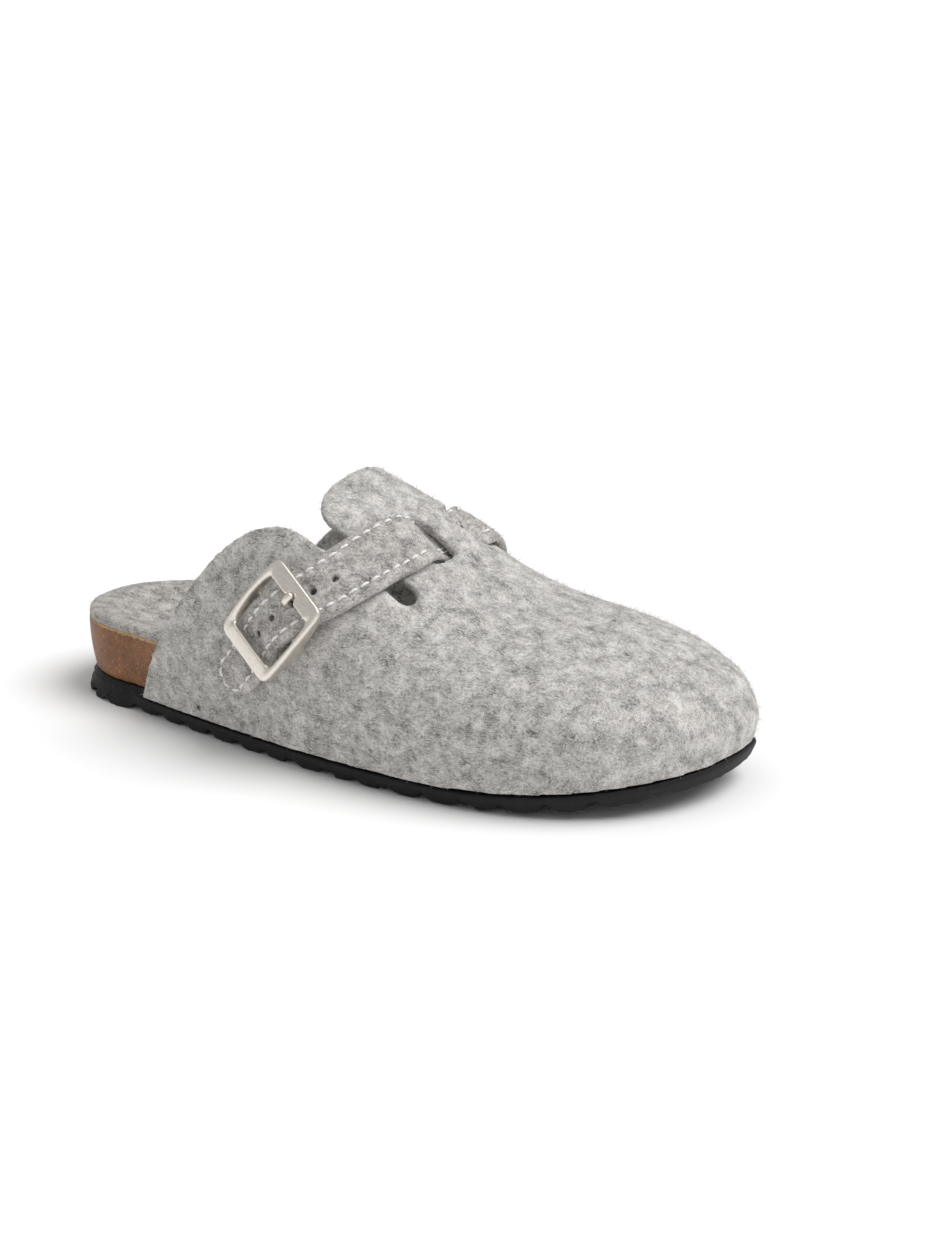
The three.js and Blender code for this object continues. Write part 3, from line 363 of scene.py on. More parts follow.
def moulded_foam():
    """Moulded EVA foam: near-black, matt, with a fine skin and faint dusty scuffs."""
    material, tree, shader, place = new_material("moulded_eva_foam")
    scuffs = add_node(tree, "ShaderNodeTexNoise", inputs={
        "Vector": place, "Scale": per_metre(6), "Detail": 6, "Roughness": 0.7})
    ramp = add_node(tree, "ShaderNodeValToRGB", inputs={"Fac": scuffs.outputs["Fac"]})
    ramp.color_ramp.elements[0].position = 0.4
    ramp.color_ramp.elements[0].color = to_linear("#100F0F")
    ramp.color_ramp.elements[1].position = 0.75
    ramp.color_ramp.elements[1].color = to_linear("#1D1B1A")
    tree.links.new(ramp.outputs["Color"], shader.inputs["Base Color"])
    skin = add_node(tree, "ShaderNodeTexNoise", inputs={
        "Vector": place, "Scale": per_metre(0.5), "Detail": 3})
    bump = add_node(tree, "ShaderNodeBump", inputs={
        "Height": skin.outputs["Fac"], "Strength": 0.4, "Distance": 0.12 * MM})
    tree.links.new(bump.outputs[0], shader.inputs["Normal"])
    shader.inputs["Roughness"].default_value = 0.62
    shader.inputs["Specular IOR Level"].default_value = 0.3
    return material


def satin_nickel():
    """Die-cast buckle, nickel plated and brushed satin: warm grey metal, its gloss blurred by fine strokes."""
    material, tree, shader, place = new_material("brushed_nickel_plate")
    stretch = add_node(tree, "ShaderNodeMapping", inputs={
        "Vector": place, "Rotation": (0, math.radians(-35), math.radians(25)), "Scale": (1, 9, 1)})
    strokes = add_node(tree, "ShaderNodeTexNoise", inputs={
        "Vector": stretch.outputs[0], "Scale": per_metre(1.8), "Detail": 5, "Roughness": 0.7})
    rough = add_node(tree, "ShaderNodeMapRange", inputs={
        "Value": strokes.outputs["Fac"], "From Min": 0.3, "From Max": 0.7, "To Min": 0.3, "To Max": 0.44})
    tree.links.new(rough.outputs[0], shader.inputs["Roughness"])
    tint = add_node(tree, "ShaderNodeValToRGB", inputs={"Fac": strokes.outputs["Fac"]})
    tint.color_ramp.elements[0].position = 0.3
    tint.color_ramp.elements[0].color = to_linear("#DDD5CB")
    tint.color_ramp.elements[1].position = 0.7
    tint.color_ramp.elements[1].color = to_linear("#F2ECE4")
    tree.links.new(tint.outputs["Color"], shader.inputs["Base Color"])
    bump = add_node(tree, "ShaderNodeBump", inputs={
        "Height": strokes.outputs["Fac"], "Strength": 0.15, "Distance": 0.03 * MM})
    tree.links.new(bump.outputs[0], shader.inputs["Normal"])
    shader.inputs["Metallic"].default_value = 1
    return material


def waxed_thread():
    """Twisted polyester thread: nearly white, a little glossy, its plies an uneven fine relief."""
    material, tree, shader, place = new_material("twisted_polyester_thread")
    plies = add_node(tree, "ShaderNodeTexNoise", inputs={
        "Vector": place, "Scale": per_metre(0.5), "Detail": 2})
    ramp = add_node(tree, "ShaderNodeValToRGB", inputs={"Fac": plies.outputs["Fac"]})
    ramp.color_ramp.elements[0].position = 0.35
    ramp.color_ramp.elements[0].color = to_linear("#D2D0CC")
    ramp.color_ramp.elements[1].position = 0.65
    ramp.color_ramp.elements[1].color = to_linear("#FDFCFA")
    tree.links.new(ramp.outputs["Color"], shader.inputs["Base Color"])
    bump = add_node(tree, "ShaderNodeBump", inputs={
        "Height": plies.outputs["Fac"], "Strength": 0.4, "Distance": 0.1 * MM})
    tree.links.new(bump.outputs[0], shader.inputs["Normal"])
    shader.inputs["Roughness"].default_value = 0.55
    return material


def wool_hair():
    """Single wool fibres, off-white to grey, with a soft sheen."""
    material, tree, shader, place = new_material("loose_wool_fibre")
    tone = add_node(tree, "ShaderNodeTexNoise", inputs={
        "Vector": place, "Scale": per_metre(1.4), "Detail": 1})
    ramp = add_node(tree, "ShaderNodeValToRGB", inputs={"Fac": tone.outputs["Fac"]})
    ramp.color_ramp.elements[0].position = 0.36
    ramp.color_ramp.elements[0].color = to_linear("#8A8783")
    ramp.color_ramp.elements[1].position = 0.6
    ramp.color_ramp.elements[1].color = to_linear("#E4E2DF")
    tree.links.new(ramp.outputs["Color"], shader.inputs["Base Color"])
    shader.inputs["Roughness"].default_value = 0.8
    shader.inputs["Sheen Weight"].default_value = 0.3
    return material


# Copies of the solids, rebuilt smooth

SHARP_FOLD = math.radians(38)
SOLE_FOLD = math.radians(17)
FLAT_FOLD = math.radians(25)
SQUARE_BEND = math.radians(50)
MERGE_DISTANCE = 0.002 * MM


def settle(piece):
    """Applies every modifier, so that the mesh is final."""
    graph = bpy.context.evaluated_depsgraph_get()
    mesh = bpy.data.meshes.new_from_object(piece.evaluated_get(graph))
    piece.modifiers.clear()
    old = piece.data
    piece.data = mesh
    bpy.data.meshes.remove(old)
    return piece


def new_piece(name, mesh, material, slot):
    """A piece of the shoe with one material, riding its only body."""
    piece = bpy.data.objects.new(name, mesh)
    bpy.context.scene.collection.objects.link(piece)
    piece.data.materials.clear()
    piece.data.materials.append(material)
    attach(piece, "root")
    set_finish(piece, slot)
    return piece


def smooth_copy(node, name, voxel, smoothing, material, levels=2, sharp=SHARP_FOLD):
    """A copy of a CAD solid without its facets: creased at its folds, subdivided, and rebuilt in voxels."""
    shape = bmesh.new()
    shape.from_mesh(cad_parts[node].data)
    bmesh.ops.remove_doubles(shape, verts=shape.verts, dist=MERGE_DISTANCE)
    bmesh.ops.join_triangles(
        shape, faces=shape.faces, angle_face_threshold=FLAT_FOLD, angle_shape_threshold=SQUARE_BEND)
    crease = shape.edges.layers.float.new("crease_edge")
    for edge in shape.edges:
        if len(edge.link_faces) == 2 and edge.calc_face_angle(0) > sharp:
            edge[crease] = 1
    mesh = bpy.data.meshes.new(name)
    shape.to_mesh(mesh)
    shape.free()
    piece = new_piece(name, mesh, material, node)
    rounder = piece.modifiers.new("rounder", "SUBSURF")
    rounder.levels = rounder.render_levels = levels
    remesh = piece.modifiers.new("remesh", "REMESH")
    remesh.mode = "VOXEL"
    remesh.voxel_size = voxel
    relax = piece.modifiers.new("relax", "SMOOTH")
    relax.factor = 0.5
    relax.iterations = smoothing
    settle(piece)
    piece.data.materials.clear()
    piece.data.materials.append(material)
    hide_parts(node)
    return piece


def read_points(mesh):
    points = np.zeros(len(mesh.vertices) * 3, np.float32)
    mesh.vertices.foreach_get("co", points)
    return points.reshape(-1, 3)


def read_normals(mesh):
    normals = np.zeros(len(mesh.vertices) * 3, np.float32)
    mesh.vertex_normals.foreach_get("vector", normals)
    return normals.reshape(-1, 3)


def shade_smooth(mesh):
    mesh.polygons.foreach_set("use_smooth", [True] * len(mesh.polygons))


def move_points(piece, points):
    piece.data.vertices.foreach_set("co", points.ravel())
    piece.data.update()


def push_out(piece, offsets):
    """Moves each vertex along its normal by its own offset."""
    mesh = piece.data
    move_points(piece, read_points(mesh) + read_normals(mesh) * np.asarray(offsets, np.float32)[:, None])
    shade_smooth(mesh)


def felt_surface(piece):
    """Felt is never even: soft lumps from the needling, and a short rough nap."""
    offsets = []
    for point in read_points(piece.data):
        place = Vector(point)
        soft = noise.noise(place / FELT_LUMP_SIZE)
        rough = noise.noise(place / FELT_NAP_SIZE + Vector((7, 3, 5)))
        offsets.append(FELT_LUMP * soft + FELT_NAP * rough)
    push_out(piece, offsets)


def blend(low, high, share):
    return low + (high - low) * share


def soft_step(low, high, value):
    share = min(max((value - low) / (high - low), 0), 1)
    return share * share * (3 - 2 * share)


def glue_down(piece):
    """The lining is glued to the cork: its underside goes down until no gap shows between them."""
    points, normals = read_points(piece.data), read_normals(piece.data)
    looks_down = np.clip(-normals[:, 2] * 2 + 0.6, 0, 1)
    points[:, 2] -= GLUE_DEPTH * looks_down
    move_points(piece, points)


def mark_rim(piece, cover):
    """Marks, for the material, the edge of the cork that lies bare and frayed just under the lining."""
    shape = bmesh.new()
    shape.from_mesh(cover.data)
    tree = BVHTree.FromBMesh(shape)
    shape.free()
    rim = piece.data.attributes.new("rim", "FLOAT", "POINT")
    for vert in piece.data.vertices:
        near = tree.find_nearest(vert.co, RIM_REACH)
        rim.data[vert.index].value = 1 - near[3] / RIM_REACH if near[0] is not None else 0


def press_at_slot(piece, height):
    """Felt lies on felt where the strap goes into its slot: both give way there until no gap is left."""
    points = read_points(piece.data)
    distance = np.linalg.norm(points - np.array(SLOT_CORNER) * MM, axis=1)
    points[:, 2] += height * np.exp(-(distance / SLOT_REACH) ** 4)
    move_points(piece, points)


def crease(piece):
    """The main creases, at their listed places: soft troughs that fade out at both ends."""
    route, fades = [], []
    for points, depth in CREASES:
        line = catmull_rom([Vector(p) * MM for p in points], CREASE_STEPS)
        route += line
        runs = [(i + 0.5) / CREASE_STEPS for i in range(CREASE_STEPS)]
        fades += [depth * MM * math.sin(math.pi * run) ** CREASE_FADE for run in runs]
    tree = kdtree.KDTree(len(route))
    for i, spot in enumerate(route):
        tree.insert(spot, i)
    tree.balance()
    offsets = []
    for point in read_points(piece.data):
        _, index, distance = tree.find(Vector(point))
        across = (distance / CREASE_HALF_WIDTH) ** 2
        offsets.append(fades[index] * ((CREASE_RIDGE * across - 1) * math.exp(-across)))
    push_out(piece, offsets)


def shape_sole(piece):
    """The foam's side: a straight slope round the bare heel, and shallow hollows between the tread's lugs."""
    points = read_points(piece.data)
    for point in points:
        run = point[0] - cad_low.x
        aside = point[1] - SOLE_MIDDLE_Y
        under = TOE_SPRING * max(0, (run / SOLE_LENGTH - SPRING_START) / (1 - SPRING_START)) ** 2
        height = point[2] - under
        behind = max(HEEL_CENTRE - run, 0)
        radius = math.hypot(behind, aside)
        if radius > HEEL_HALF / 2 and run < HEEL_BARE_END:
            share = ((behind / HEEL_CENTRE) ** 2 + (aside / HEEL_HALF) ** 2) ** 0.5
            reach = radius - radius / share
            bulge = np.interp(height, SOLE_HEIGHTS, SOLE_BULGES)
            slope = blend(HEEL_SLOPE, 0, height / SOLE_THICKNESS)
            near_rim = soft_step(-HEEL_RIM, 0, reach)
            push = (slope - bulge) * near_rim * soft_step(HEEL_BARE_END, HEEL_CENTRE, run)
            point[0] -= push * behind / radius
            point[1] += push * aside / radius
        lug = abs(math.sin(math.pi * (run + LUG_LEAN * abs(aside)) / LUG_PITCH))
        hollow = LUG_DEPTH * (1 - lug) ** 2 * max(0, 1 - height / LUG_HEIGHT)
        point[2] = max(point[2] + hollow, 0)
    move_points(piece, points)


# Strap route and stitching

def catmull_rom(points, count):
    """Evenly numbered points of a smooth curve through the given ones."""
    padded = [points[0] * 2 - points[1], *points, points[-1] * 2 - points[-2]]
    made = []
    for i in range(count):
        at = i / (count - 1) * (len(points) - 1)
        k = min(int(at), len(points) - 2)
        t = at - k
        a, b, c, d = padded[k:k + 4]
        made.append(0.5 * (2 * b + (c - a) * t + (2 * a - 5 * b + 4 * c - d) * t ** 2
                           + (3 * b - a - 3 * c + d) * t ** 3))
    return made


def along_even(points, step):
    """The same route as points an even distance apart."""
    made = [points[0]]
    left = step
    for a, b in zip(points, points[1:]):
        span = (b - a).length
        while left < span:
            made.append(a.lerp(b, left / span))
            left += step
        left -= span
    return made


FOOT_AXIS = Vector((0, cad_low.y + (cad_high.y - cad_low.y) / 2, 32 * MM))
RAY_HEIGHT = 14 * MM
EDGE_STEP = 0.25 * MM
EDGE_LIMIT = 15 * MM
DEPTH_JUMP = 1.2 * MM
HOLE_CLEAR = 3 * MM
GUIDE_STEPS = 160
ROUTE_STEP = 1.5 * MM
STRAP_TIP_LENGTH = 9.6 * MM
TIP_STITCH_STEPS = 24
MIDDLE_PASSES = 3
MIDDLE_REACH = 3
WIDTH_REACH = 4
STITCH_STRAY = 8 * MM
STITCH_FACING = 0.8


def strap_frames(tree, route):
    """At each point of a route near the strap: its outer face's middle, its side, normal and half width."""
    frames = []
    for i, point in enumerate(route):
        ahead = (route[min(i + 1, len(route) - 1)] - route[max(i - 1, 0)]).normalized()
        out = point - Vector((point.x, FOOT_AXIS.y, FOOT_AXIS.z))
        out = (out - ahead * out.dot(ahead)).normalized()
        side = out.cross(ahead)
        edges = []
        for sign in (-1, 1):
            last, edge = None, None
            reach = HOLE_CLEAR
            while reach < EDGE_LIMIT:
                start = point + side * sign * reach + out * RAY_HEIGHT
                hit, _, _, distance = tree.ray_cast(start, -out, 2 * RAY_HEIGHT)
                if hit is None or (last is not None and abs(distance - last) > DEPTH_JUMP):
                    break
                last, edge = distance, hit
                reach += EDGE_STEP
            if edge is not None:
                edges.append(edge)
        if len(edges) == 2:
            frames.append(((edges[0] + edges[1]) / 2, side, out, (edges[1] - edges[0]).length / 2))
    return frames


def smooth_run(points, reach):
    """The same route with each point drawn to the mean of its neighbours."""
    groups = [points[max(i - reach, 0):i + reach + 1] for i in range(len(points))]
    return [sum(group, Vector()) / len(group) for group in groups]


def strap_middle_line(tree):
    """Frames along the strap's middle, found from the rough guide in a few passes."""
    route = along_even(catmull_rom([Vector(p) * MM for p in STRAP_GUIDE], GUIDE_STEPS), ROUTE_STEP)
    for _ in range(MIDDLE_PASSES):
        route = smooth_run([middle for middle, _, _, _ in strap_frames(tree, route)], MIDDLE_REACH)
    return strap_frames(tree, route)


def stitch_lines(frames):
    """The line of the stitching: down one edge, round the tip, and up the other. Each point has its normal."""
    middles = smooth_run([middle for middle, _, _, _ in frames], MIDDLE_REACH)
    halves = [half for _, _, _, half in frames]
    reach = STRAP_TIP_LENGTH - STITCH_INSET
    covered = halves[0] if halves[0] < STRAP_TIP_LENGTH else 0
    run, start = 0, 0
    while run < STRAP_TIP_LENGTH - covered:
        run += (middles[start + 1] - middles[start]).length
        start += 1
    centre = middles[start]
    _, side, out, _ = frames[start]
    ahead = (middles[start + 2] - centre).normalized()
    sides = {-1: [], 1: []}
    for sign, line in sides.items():
        for k in range(start, len(frames)):
            near = halves[max(k - WIDTH_REACH, 0):k + WIDTH_REACH + 1]
            inset = sum(near) / len(near) - STITCH_INSET
            _, aside, normal, _ = frames[k]
            line.append((middles[k] + aside * sign * inset, normal))
    arc = []
    for k in range(1, TIP_STITCH_STEPS):
        turn = math.pi * k / TIP_STITCH_STEPS
        spot = centre - ahead * reach * math.sin(turn) - side * reach * math.cos(turn)
        arc.append((spot, out))
    return [*reversed(sides[-1]), *arc, *sides[1]]


felt = heather_felt("needled_wool_felt", "#DBD8D4", "#ABA8A4", "#62605E")
paint_pit_shade(felt)
# The lining's felt is given darker tones than the upper's: painted shade of the heel cup's hollow.
lining_felt_painted_shade = heather_felt("needled_wool_felt_lining_painted_shade", "#C9C5C0", "#98948F", "#53514E")
felt_strap = heather_felt("needled_wool_felt_strap", "#D6D2CE", "#A19D99", "#545250")
hair = wool_hair()
thread = waxed_thread()
nickel = satin_nickel()

upper = smooth_copy("upper", "felt_upper", UPPER_VOXEL, 5, felt)
felt_surface(upper)
crease(upper)
press_at_slot(upper, -SLOT_SAG)
lining = smooth_copy("lining", "lining_felt_painted_shade", LINING_VOXEL, 2, lining_felt_painted_shade)
felt_surface(lining)
glue_down(lining)
strap = smooth_copy("strap", "felt_strap", STRAP_VOXEL, 4, felt_strap, 1)
felt_surface(strap)
press_at_slot(strap, STRAP_RISE)
cork = smooth_copy("footbed", "cork_footbed", CORK_VOXEL, 3, pressed_cork())
shade_smooth(cork.data)
mark_rim(cork, lining)
sole = smooth_copy("outsole", "foam_outsole", SOLE_VOXEL, 1, moulded_foam(), 2, SOLE_FOLD)
shade_smooth(sole.data)
shape_sole(sole)


# Buckle

def buckle_axes():
    """The buckle's own axes, from the spread of its solid: along the strap to its tip, across, and outwards.
    The middle lies on its axle."""
    points = read_points(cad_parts["buckle_frame"].data).astype(float)
    centred = points - points.mean(axis=0)
    _, _, axes = np.linalg.svd(centred, full_matrices=False)
    along, aside, out = axes
    if np.ptp(centred @ aside) > np.ptp(centred @ along):
        along = aside
    if out[1] > 0:
        out = -out
    if along[2] > 0:
        along = -along
    across = np.cross(out, along)
    spread = points @ np.array([along, across, out]).T
    middle = (spread.min(axis=0) + spread.max(axis=0)) / 2
    middle[2] = spread[:, 2].min() + AXLE_OVER_FOOT
    place = Matrix((along, across, out)).transposed().to_4x4()
    place.translation = Vector(middle @ np.array([along, across, out]))
    return place


def power_wave(value, power):
    """A cosine or sine drawn out towards its ends, which squares a round."""
    return math.copysign(abs(value) ** power, value)


def buckle_outline(turn, half_length, half_width):
    """A point of a rectangle with round corners."""
    return Vector((
        half_length * power_wave(math.cos(turn), 2 / CORNER_SQUARENESS),
        half_width * power_wave(math.sin(turn), 2 / CORNER_SQUARENESS), 0))


def buckle_turns():
    """Turns round the frame that lie an even distance apart on its outer outline."""
    waves = [(i / PATH_STEPS) ** (CORNER_SQUARENESS / 2) for i in range(PATH_STEPS + 1)]
    quarter = sorted([math.asin(wave) for wave in waves] + [math.acos(wave) for wave in waves])
    turns, walked = [], BUCKLE_STEP
    last = buckle_outline(0, BUCKLE_HALF_LENGTH, BUCKLE_HALF_WIDTH)
    for turn in [side * math.pi / 2 + part for side in range(4) for part in quarter]:
        spot = buckle_outline(turn, BUCKLE_HALF_LENGTH, BUCKLE_HALF_WIDTH)
        walked += (spot - last).length
        last = spot
        if walked >= BUCKLE_STEP:
            turns.append(turn)
            walked = 0
    return turns


def buckle_section(shape, turn):
    """One ring of the frame: a flat bar with soft edges at the ends, a rounder, deeper rail at the sides."""
    bar = BUCKLE_UPPER_BAR if math.cos(turn) < 0 else BUCKLE_LOWER_BAR
    outer = buckle_outline(turn, BUCKLE_HALF_LENGTH, BUCKLE_HALF_WIDTH)
    inner = buckle_outline(turn, BUCKLE_HALF_LENGTH - bar, BUCKLE_HALF_WIDTH - BUCKLE_RAIL)
    if inner.x < 0:
        inner.x -= NOTCH_DEPTH * math.exp(-((inner.y - prong_aside) / NOTCH_HALF_WIDTH) ** 4)
    steep = CORNER_SQUARENESS - 1
    facing = Vector((
        abs(outer.x / BUCKLE_HALF_LENGTH) ** steep / BUCKLE_HALF_LENGTH,
        abs(outer.y / BUCKLE_HALF_WIDTH) ** steep / BUCKLE_HALF_WIDTH)).normalized()
    rail = soft_step(0.15, 0.85, facing.y)
    bow = max(1 - (outer.x / BUCKLE_HALF_LENGTH) ** 2, 0)
    middle = (outer + inner) / 2 + Vector((0, math.copysign(RAIL_BOW * bow, outer.y), 0)) * rail
    top = BAR_HEIGHT + BAR_THICKNESS / 2 + RAIL_ARCH * bow * rail
    foot = top - BAR_THICKNESS - RAIL_DEPTH * math.sqrt(bow) * rail
    ear = math.exp(-(outer.x / EAR_LENGTH) ** 4)
    foot = blend(foot, -AXLE_OVER_FOOT, ear * rail)
    squareness = blend(BAR_SQUARENESS, RAIL_SQUARENESS, rail)
    ring = bmesh.ops.create_circle(shape, segments=SECTION_STEPS, radius=1)["verts"]
    for vert in ring:
        angle = math.atan2(vert.co.y, vert.co.x)
        place = middle + (outer - inner) / 2 * power_wave(math.cos(angle), 2 / squareness)
        rise = (power_wave(math.sin(angle), 2 / squareness) + 1) / 2
        tilt = (BUCKLE_HALF_LENGTH - bar / 2 - abs(place.x)) * math.tan(BAR_TILT) * (1 - rail)
        vert.co = Vector((place.x, place.y, blend(foot, top, rise) + tilt))
    return ring


def bridge_rings(shape, rings, closed):
    """Walls from ring to ring, and on to the first where the run is closed."""
    loops = [list({edge for vert in ring for edge in vert.link_edges}) for ring in rings]
    following = loops[1:] + loops[:1] if closed else loops[1:]
    for near, far in zip(loops, following):
        bmesh.ops.bridge_loops(shape, edges=near + far)


def metal_piece(shape, name, node):
    """The finished mesh, laid in the buckle's place."""
    bmesh.ops.recalc_face_normals(shape, faces=shape.faces)
    bmesh.ops.transform(shape, matrix=buckle_place, verts=shape.verts)
    mesh = bpy.data.meshes.new(name)
    shape.to_mesh(mesh)
    shape.free()
    shade_smooth(mesh)
    piece = new_piece(name, mesh, nickel, node)
    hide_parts(node)


def nickel_frame():
    """The frame, closed all the way round, and its axle across the middle."""
    shape = bmesh.new()
    bridge_rings(shape, [buckle_section(shape, turn) for turn in buckle_turns()], True)
    bmesh.ops.create_cone(
        shape, cap_ends=True, segments=AXLE_STEPS, radius1=AXLE_RADIUS, radius2=AXLE_RADIUS,
        depth=2 * (BUCKLE_HALF_WIDTH - BUCKLE_RAIL / 2), matrix=Matrix.Rotation(math.pi / 2, 4, "X"))
    metal_piece(shape, "nickel_buckle_frame", "buckle_frame")


def nickel_prong():
    """A stout pin that hooks round the axle, comes up through its hole and rests its round end on the bar."""
    bends = [Vector((along, 0, height)) * MM for along, height in PRONG_ROUTE]
    route = along_even(catmull_rom(bends, PRONG_POINTS), PRONG_STEP)
    shape = bmesh.new()
    rings = []
    for i, spot in enumerate(route):
        ahead = (route[min(i + 1, len(route) - 1)] - route[max(i - 1, 0)]).normalized()
        lift = ahead.cross(Vector((0, 1, 0)))
        left = min(len(route) - 1 - i, i) * PRONG_STEP
        slim = blend(PRONG_TIP_SHARE, 1, math.sqrt(1 - (1 - min(left / PRONG_END, 1)) ** 2))
        ring = bmesh.ops.create_circle(shape, segments=SECTION_STEPS, radius=1)["verts"]
        for vert in ring:
            vert.co = (spot + Vector((0, prong_aside + vert.co.x * PRONG_HALF_WIDTH * slim, 0))
                       + lift * vert.co.y * PRONG_HALF_THICKNESS * slim)
        rings.append(ring)
    bridge_rings(shape, rings, False)
    for ring in (rings[0], rings[-1]):
        bmesh.ops.contextual_create(shape, geom=ring)
    metal_piece(shape, "nickel_buckle_prong", "buckle_prong")


buckle_place = buckle_axes()
prong_middle = Vector(read_points(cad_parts["buckle_prong"].data).mean(axis=0))
prong_aside = (buckle_place.inverted() @ prong_middle).y
nickel_frame()
nickel_prong()


def stitch_template():
    """One stitch along X: a short thick thread, arched, with thin ends that go down into the felt."""
    shape = bmesh.new()
    bmesh.ops.create_cone(
        shape, cap_ends=True, segments=7, radius1=STITCH_RADIUS, radius2=STITCH_RADIUS, depth=STITCH_LENGTH,
        matrix=Matrix.Rotation(math.pi / 2, 4, "Y"))
    long_edges = [e for e in shape.edges if abs(e.verts[0].co.x - e.verts[1].co.x) > STITCH_LENGTH / 2]
    bmesh.ops.subdivide_edges(shape, edges=long_edges, cuts=6)
    for vert in shape.verts:
        share = abs(vert.co.x) / (STITCH_LENGTH / 2)
        slim = 1 - STITCH_TAPER * share ** 3
        vert.co.y *= slim
        vert.co.z = vert.co.z * slim + STITCH_ARCH * (1 - share ** 2) * STITCH_HUMP - STITCH_ARCH
    mesh = bpy.data.meshes.new("stitch_template")
    shape.to_mesh(mesh)
    shape.free()
    return mesh


def scatter(name, template, places, material, slot):
    """One piece made of copies of a small mesh, one at each 4x4 place."""
    points = read_points(template)
    faces = [list(p.vertices) for p in template.polygons]
    places = np.asarray(places)
    turned = np.einsum("nij,vj->nvi", places[:, :3, :3], points) + places[:, None, :3, 3]
    count = len(points)
    all_faces = [[v + k * count for v in face] for k in range(len(places)) for face in faces]
    mesh = bpy.data.meshes.new(name)
    mesh.from_pydata(turned.reshape(-1, 3).tolist(), [], all_faces)
    shade_smooth(mesh)
    mesh.update()
    return new_piece(name, mesh, material, slot)


def stitches_along(tree, line):
    """Places of the stitches on a line of points with normals, and the points where the thread goes in."""
    spots = [spot for spot, _ in line]
    places, ends = [], []
    even = along_even(spots, STITCH_PITCH / 2)
    for a, b, c in zip(even[::2], even[1::2], even[2::2]):
        out = min(line, key=lambda item: (item[0] - b).length)[1]
        hit, normal, _, _ = tree.ray_cast(b + out * RAY_HEIGHT, -out, 2 * RAY_HEIGHT)
        if hit is None or (hit - b).length > STITCH_STRAY or normal.dot(out) < STITCH_FACING:
            continue
        ahead = c - a
        ahead = (ahead - normal * ahead.dot(normal)).normalized()
        across = normal.cross(ahead)
        place = Matrix((ahead, across, normal)).transposed().to_4x4()
        place.translation = hit
        places.append(place)
        ends += [hit - ahead * STITCH_PITCH / 2, hit + ahead * STITCH_PITCH / 2]
    return places, ends


shape = bmesh.new()
shape.from_mesh(strap.data)
strap_tree = BVHTree.FromBMesh(shape)
shape.free()
stitch_places, stitch_ends = stitches_along(strap_tree, stitch_lines(strap_middle_line(strap_tree)))
scatter("strap_stitching", stitch_template(), stitch_places, thread, "strap")


def dimple(piece, ends):
    """The felt is pulled in where the thread goes through."""
    tree = kdtree.KDTree(len(ends))
    for i, end in enumerate(ends):
        tree.insert(end, i)
    tree.balance()
    offsets = []
    for point in read_points(piece.data):
        distance = tree.find(Vector(point))[2]
        offsets.append(-STITCH_DIMPLE * math.exp(-(distance / STITCH_DIMPLE_REACH) ** 2))
    push_out(piece, offsets)


dimple(strap, stitch_ends)


# Loose hairs

def hair_template():
    """One fibre along Z: a thin bent spike."""
    shape = bmesh.new()
    bmesh.ops.create_cone(
        shape, cap_ends=True, segments=3, radius1=HAIR_RADIUS, radius2=HAIR_RADIUS * HAIR_TIP,
        depth=HAIR_LENGTH, matrix=Matrix.Translation((0, 0, HAIR_LENGTH / 2)))
    long_edges = [e for e in shape.edges if abs(e.verts[0].co.z - e.verts[1].co.z) > HAIR_LENGTH / 2]
    bmesh.ops.subdivide_edges(shape, edges=long_edges, cuts=1)
    for vert in shape.verts:
        share = vert.co.z / HAIR_LENGTH
        vert.co.x += HAIR_BEND * HAIR_LENGTH * share ** 2
    bmesh.ops.triangulate(shape, faces=shape.faces)
    mesh = bpy.data.meshes.new("hair_template")
    shape.to_mesh(mesh)
    shape.free()
    return mesh


def loose_hairs(name, piece, count, seed):
    """Hairs at random places on a felt piece, nearly flat on it, in all directions."""
    chance = np.random.default_rng(RANDOM_SEED + seed)
    mesh = piece.data
    points, normals = read_points(mesh), read_normals(mesh)
    open_face = np.flatnonzero(normals[:, 2] > HEM_TURN)
    chosen = chance.choice(open_face, count, replace=False)
    places = []
    for index in chosen:
        normal = normals[index] / np.linalg.norm(normals[index])
        lean = chance.normal(size=3)
        lean -= normal * lean.dot(normal)
        lean /= np.linalg.norm(lean)
        rise = chance.uniform(*HAIR_RISES)
        up = normal * rise + lean * math.sqrt(1 - rise * rise)
        across = np.cross(up, normal)
        across /= np.linalg.norm(across)
        bend = np.cross(across, up)
        size = chance.uniform(*HAIR_SIZES)
        place = np.eye(4)
        place[:3, 0] = bend * size
        place[:3, 1] = across * size
        place[:3, 2] = up * size
        place[:3, 3] = points[index] - normal * HAIR_ROOT
        places.append(place)
    return scatter(name, hair_template(), places, hair, piece["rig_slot"])


loose_hairs("upper_loose_hairs", upper, UPPER_HAIRS, 1)
loose_hairs("strap_loose_hairs", strap, STRAP_HAIRS, 2)
loose_hairs("lining_loose_hairs", lining, LINING_HAIRS, 3)


# Floor, light and camera

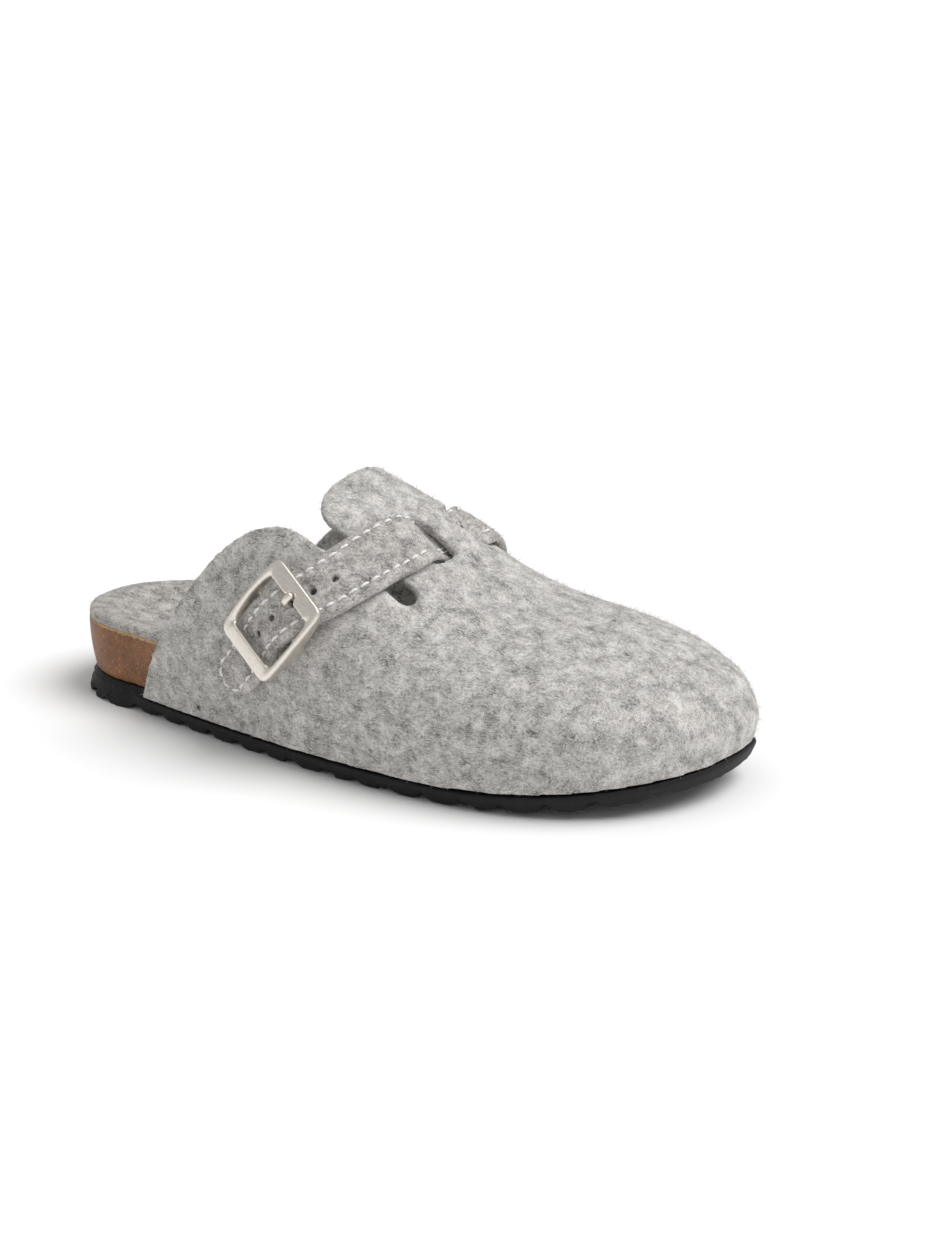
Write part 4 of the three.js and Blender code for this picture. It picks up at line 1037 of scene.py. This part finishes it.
def pale_floor():
    """Matt white paper, far wider than the picture."""
    material, _, shader, _ = new_material("pale_studio_floor")
    shader.inputs["Base Color"].default_value = to_linear("#FBFBFB")
    shader.inputs["Roughness"].default_value = 0.9
    shape = bmesh.new()
    bmesh.ops.create_grid(shape, x_segments=1, y_segments=1, size=FLOOR_HALF)
    mesh = bpy.data.meshes.new("studio_floor")
    shape.to_mesh(mesh)
    shape.free()
    floor = bpy.data.objects.new("studio_floor", mesh)
    bpy.context.scene.collection.objects.link(floor)
    mesh.materials.append(material)


def look_from(azimuth, elevation):
    """The direction from the shoe to a viewpoint. The azimuth turns from the outer side towards the toe."""
    return Vector((
        math.sin(azimuth) * math.cos(elevation), -math.cos(azimuth) * math.cos(elevation), math.sin(elevation)))


def soft_sun():
    """Even daylight from a wide window ahead of the toe, with soft shadows."""
    data = bpy.data.lights.new("window_light", "SUN")
    data.angle = SUN_SPREAD
    data.energy = SUN_POWER
    lamp = bpy.data.objects.new("window_light", data)
    bpy.context.scene.collection.objects.link(lamp)
    lamp.rotation_euler = look_from(SUN_AZIMUTH, SUN_ELEVATION).to_track_quat("Z", "Y").to_euler()


def studio():
    pale_floor()
    world = bpy.data.worlds.new("studio_surround")
    world.use_nodes = True
    world.node_tree.nodes["Background"].inputs["Color"].default_value = to_linear("#FFFFFF")
    world.node_tree.nodes["Background"].inputs["Strength"].default_value = SURROUND_LIGHT
    bpy.context.scene.world = world
    bpy.context.scene.view_settings.view_transform = "Standard"
    soft_sun()


def photo_camera():
    data = bpy.data.cameras.new("photo_camera")
    data.sensor_width = SENSOR
    data.lens = FOCAL_LENGTH_PX / max(PHOTO_WIDTH_PX, PHOTO_HEIGHT_PX) * SENSOR
    data.clip_start, data.clip_end = 0.01, 100
    camera = bpy.data.objects.new("photo_camera", data)
    bpy.context.scene.collection.objects.link(camera)
    back = look_from(CAMERA_AZIMUTH, CAMERA_ELEVATION)
    right = Vector((math.cos(CAMERA_AZIMUTH), math.sin(CAMERA_AZIMUTH), 0))
    up = back.cross(right)
    camera.location = (CAMERA_TARGET + back * CAMERA_DISTANCE + right * CAMERA_SLIDE_RIGHT
                       + up * CAMERA_SLIDE_UP)
    camera.rotation_euler = back.to_track_quat("Z", "Y").to_euler()
    bpy.context.scene.camera = camera


studio()
photo_camera()
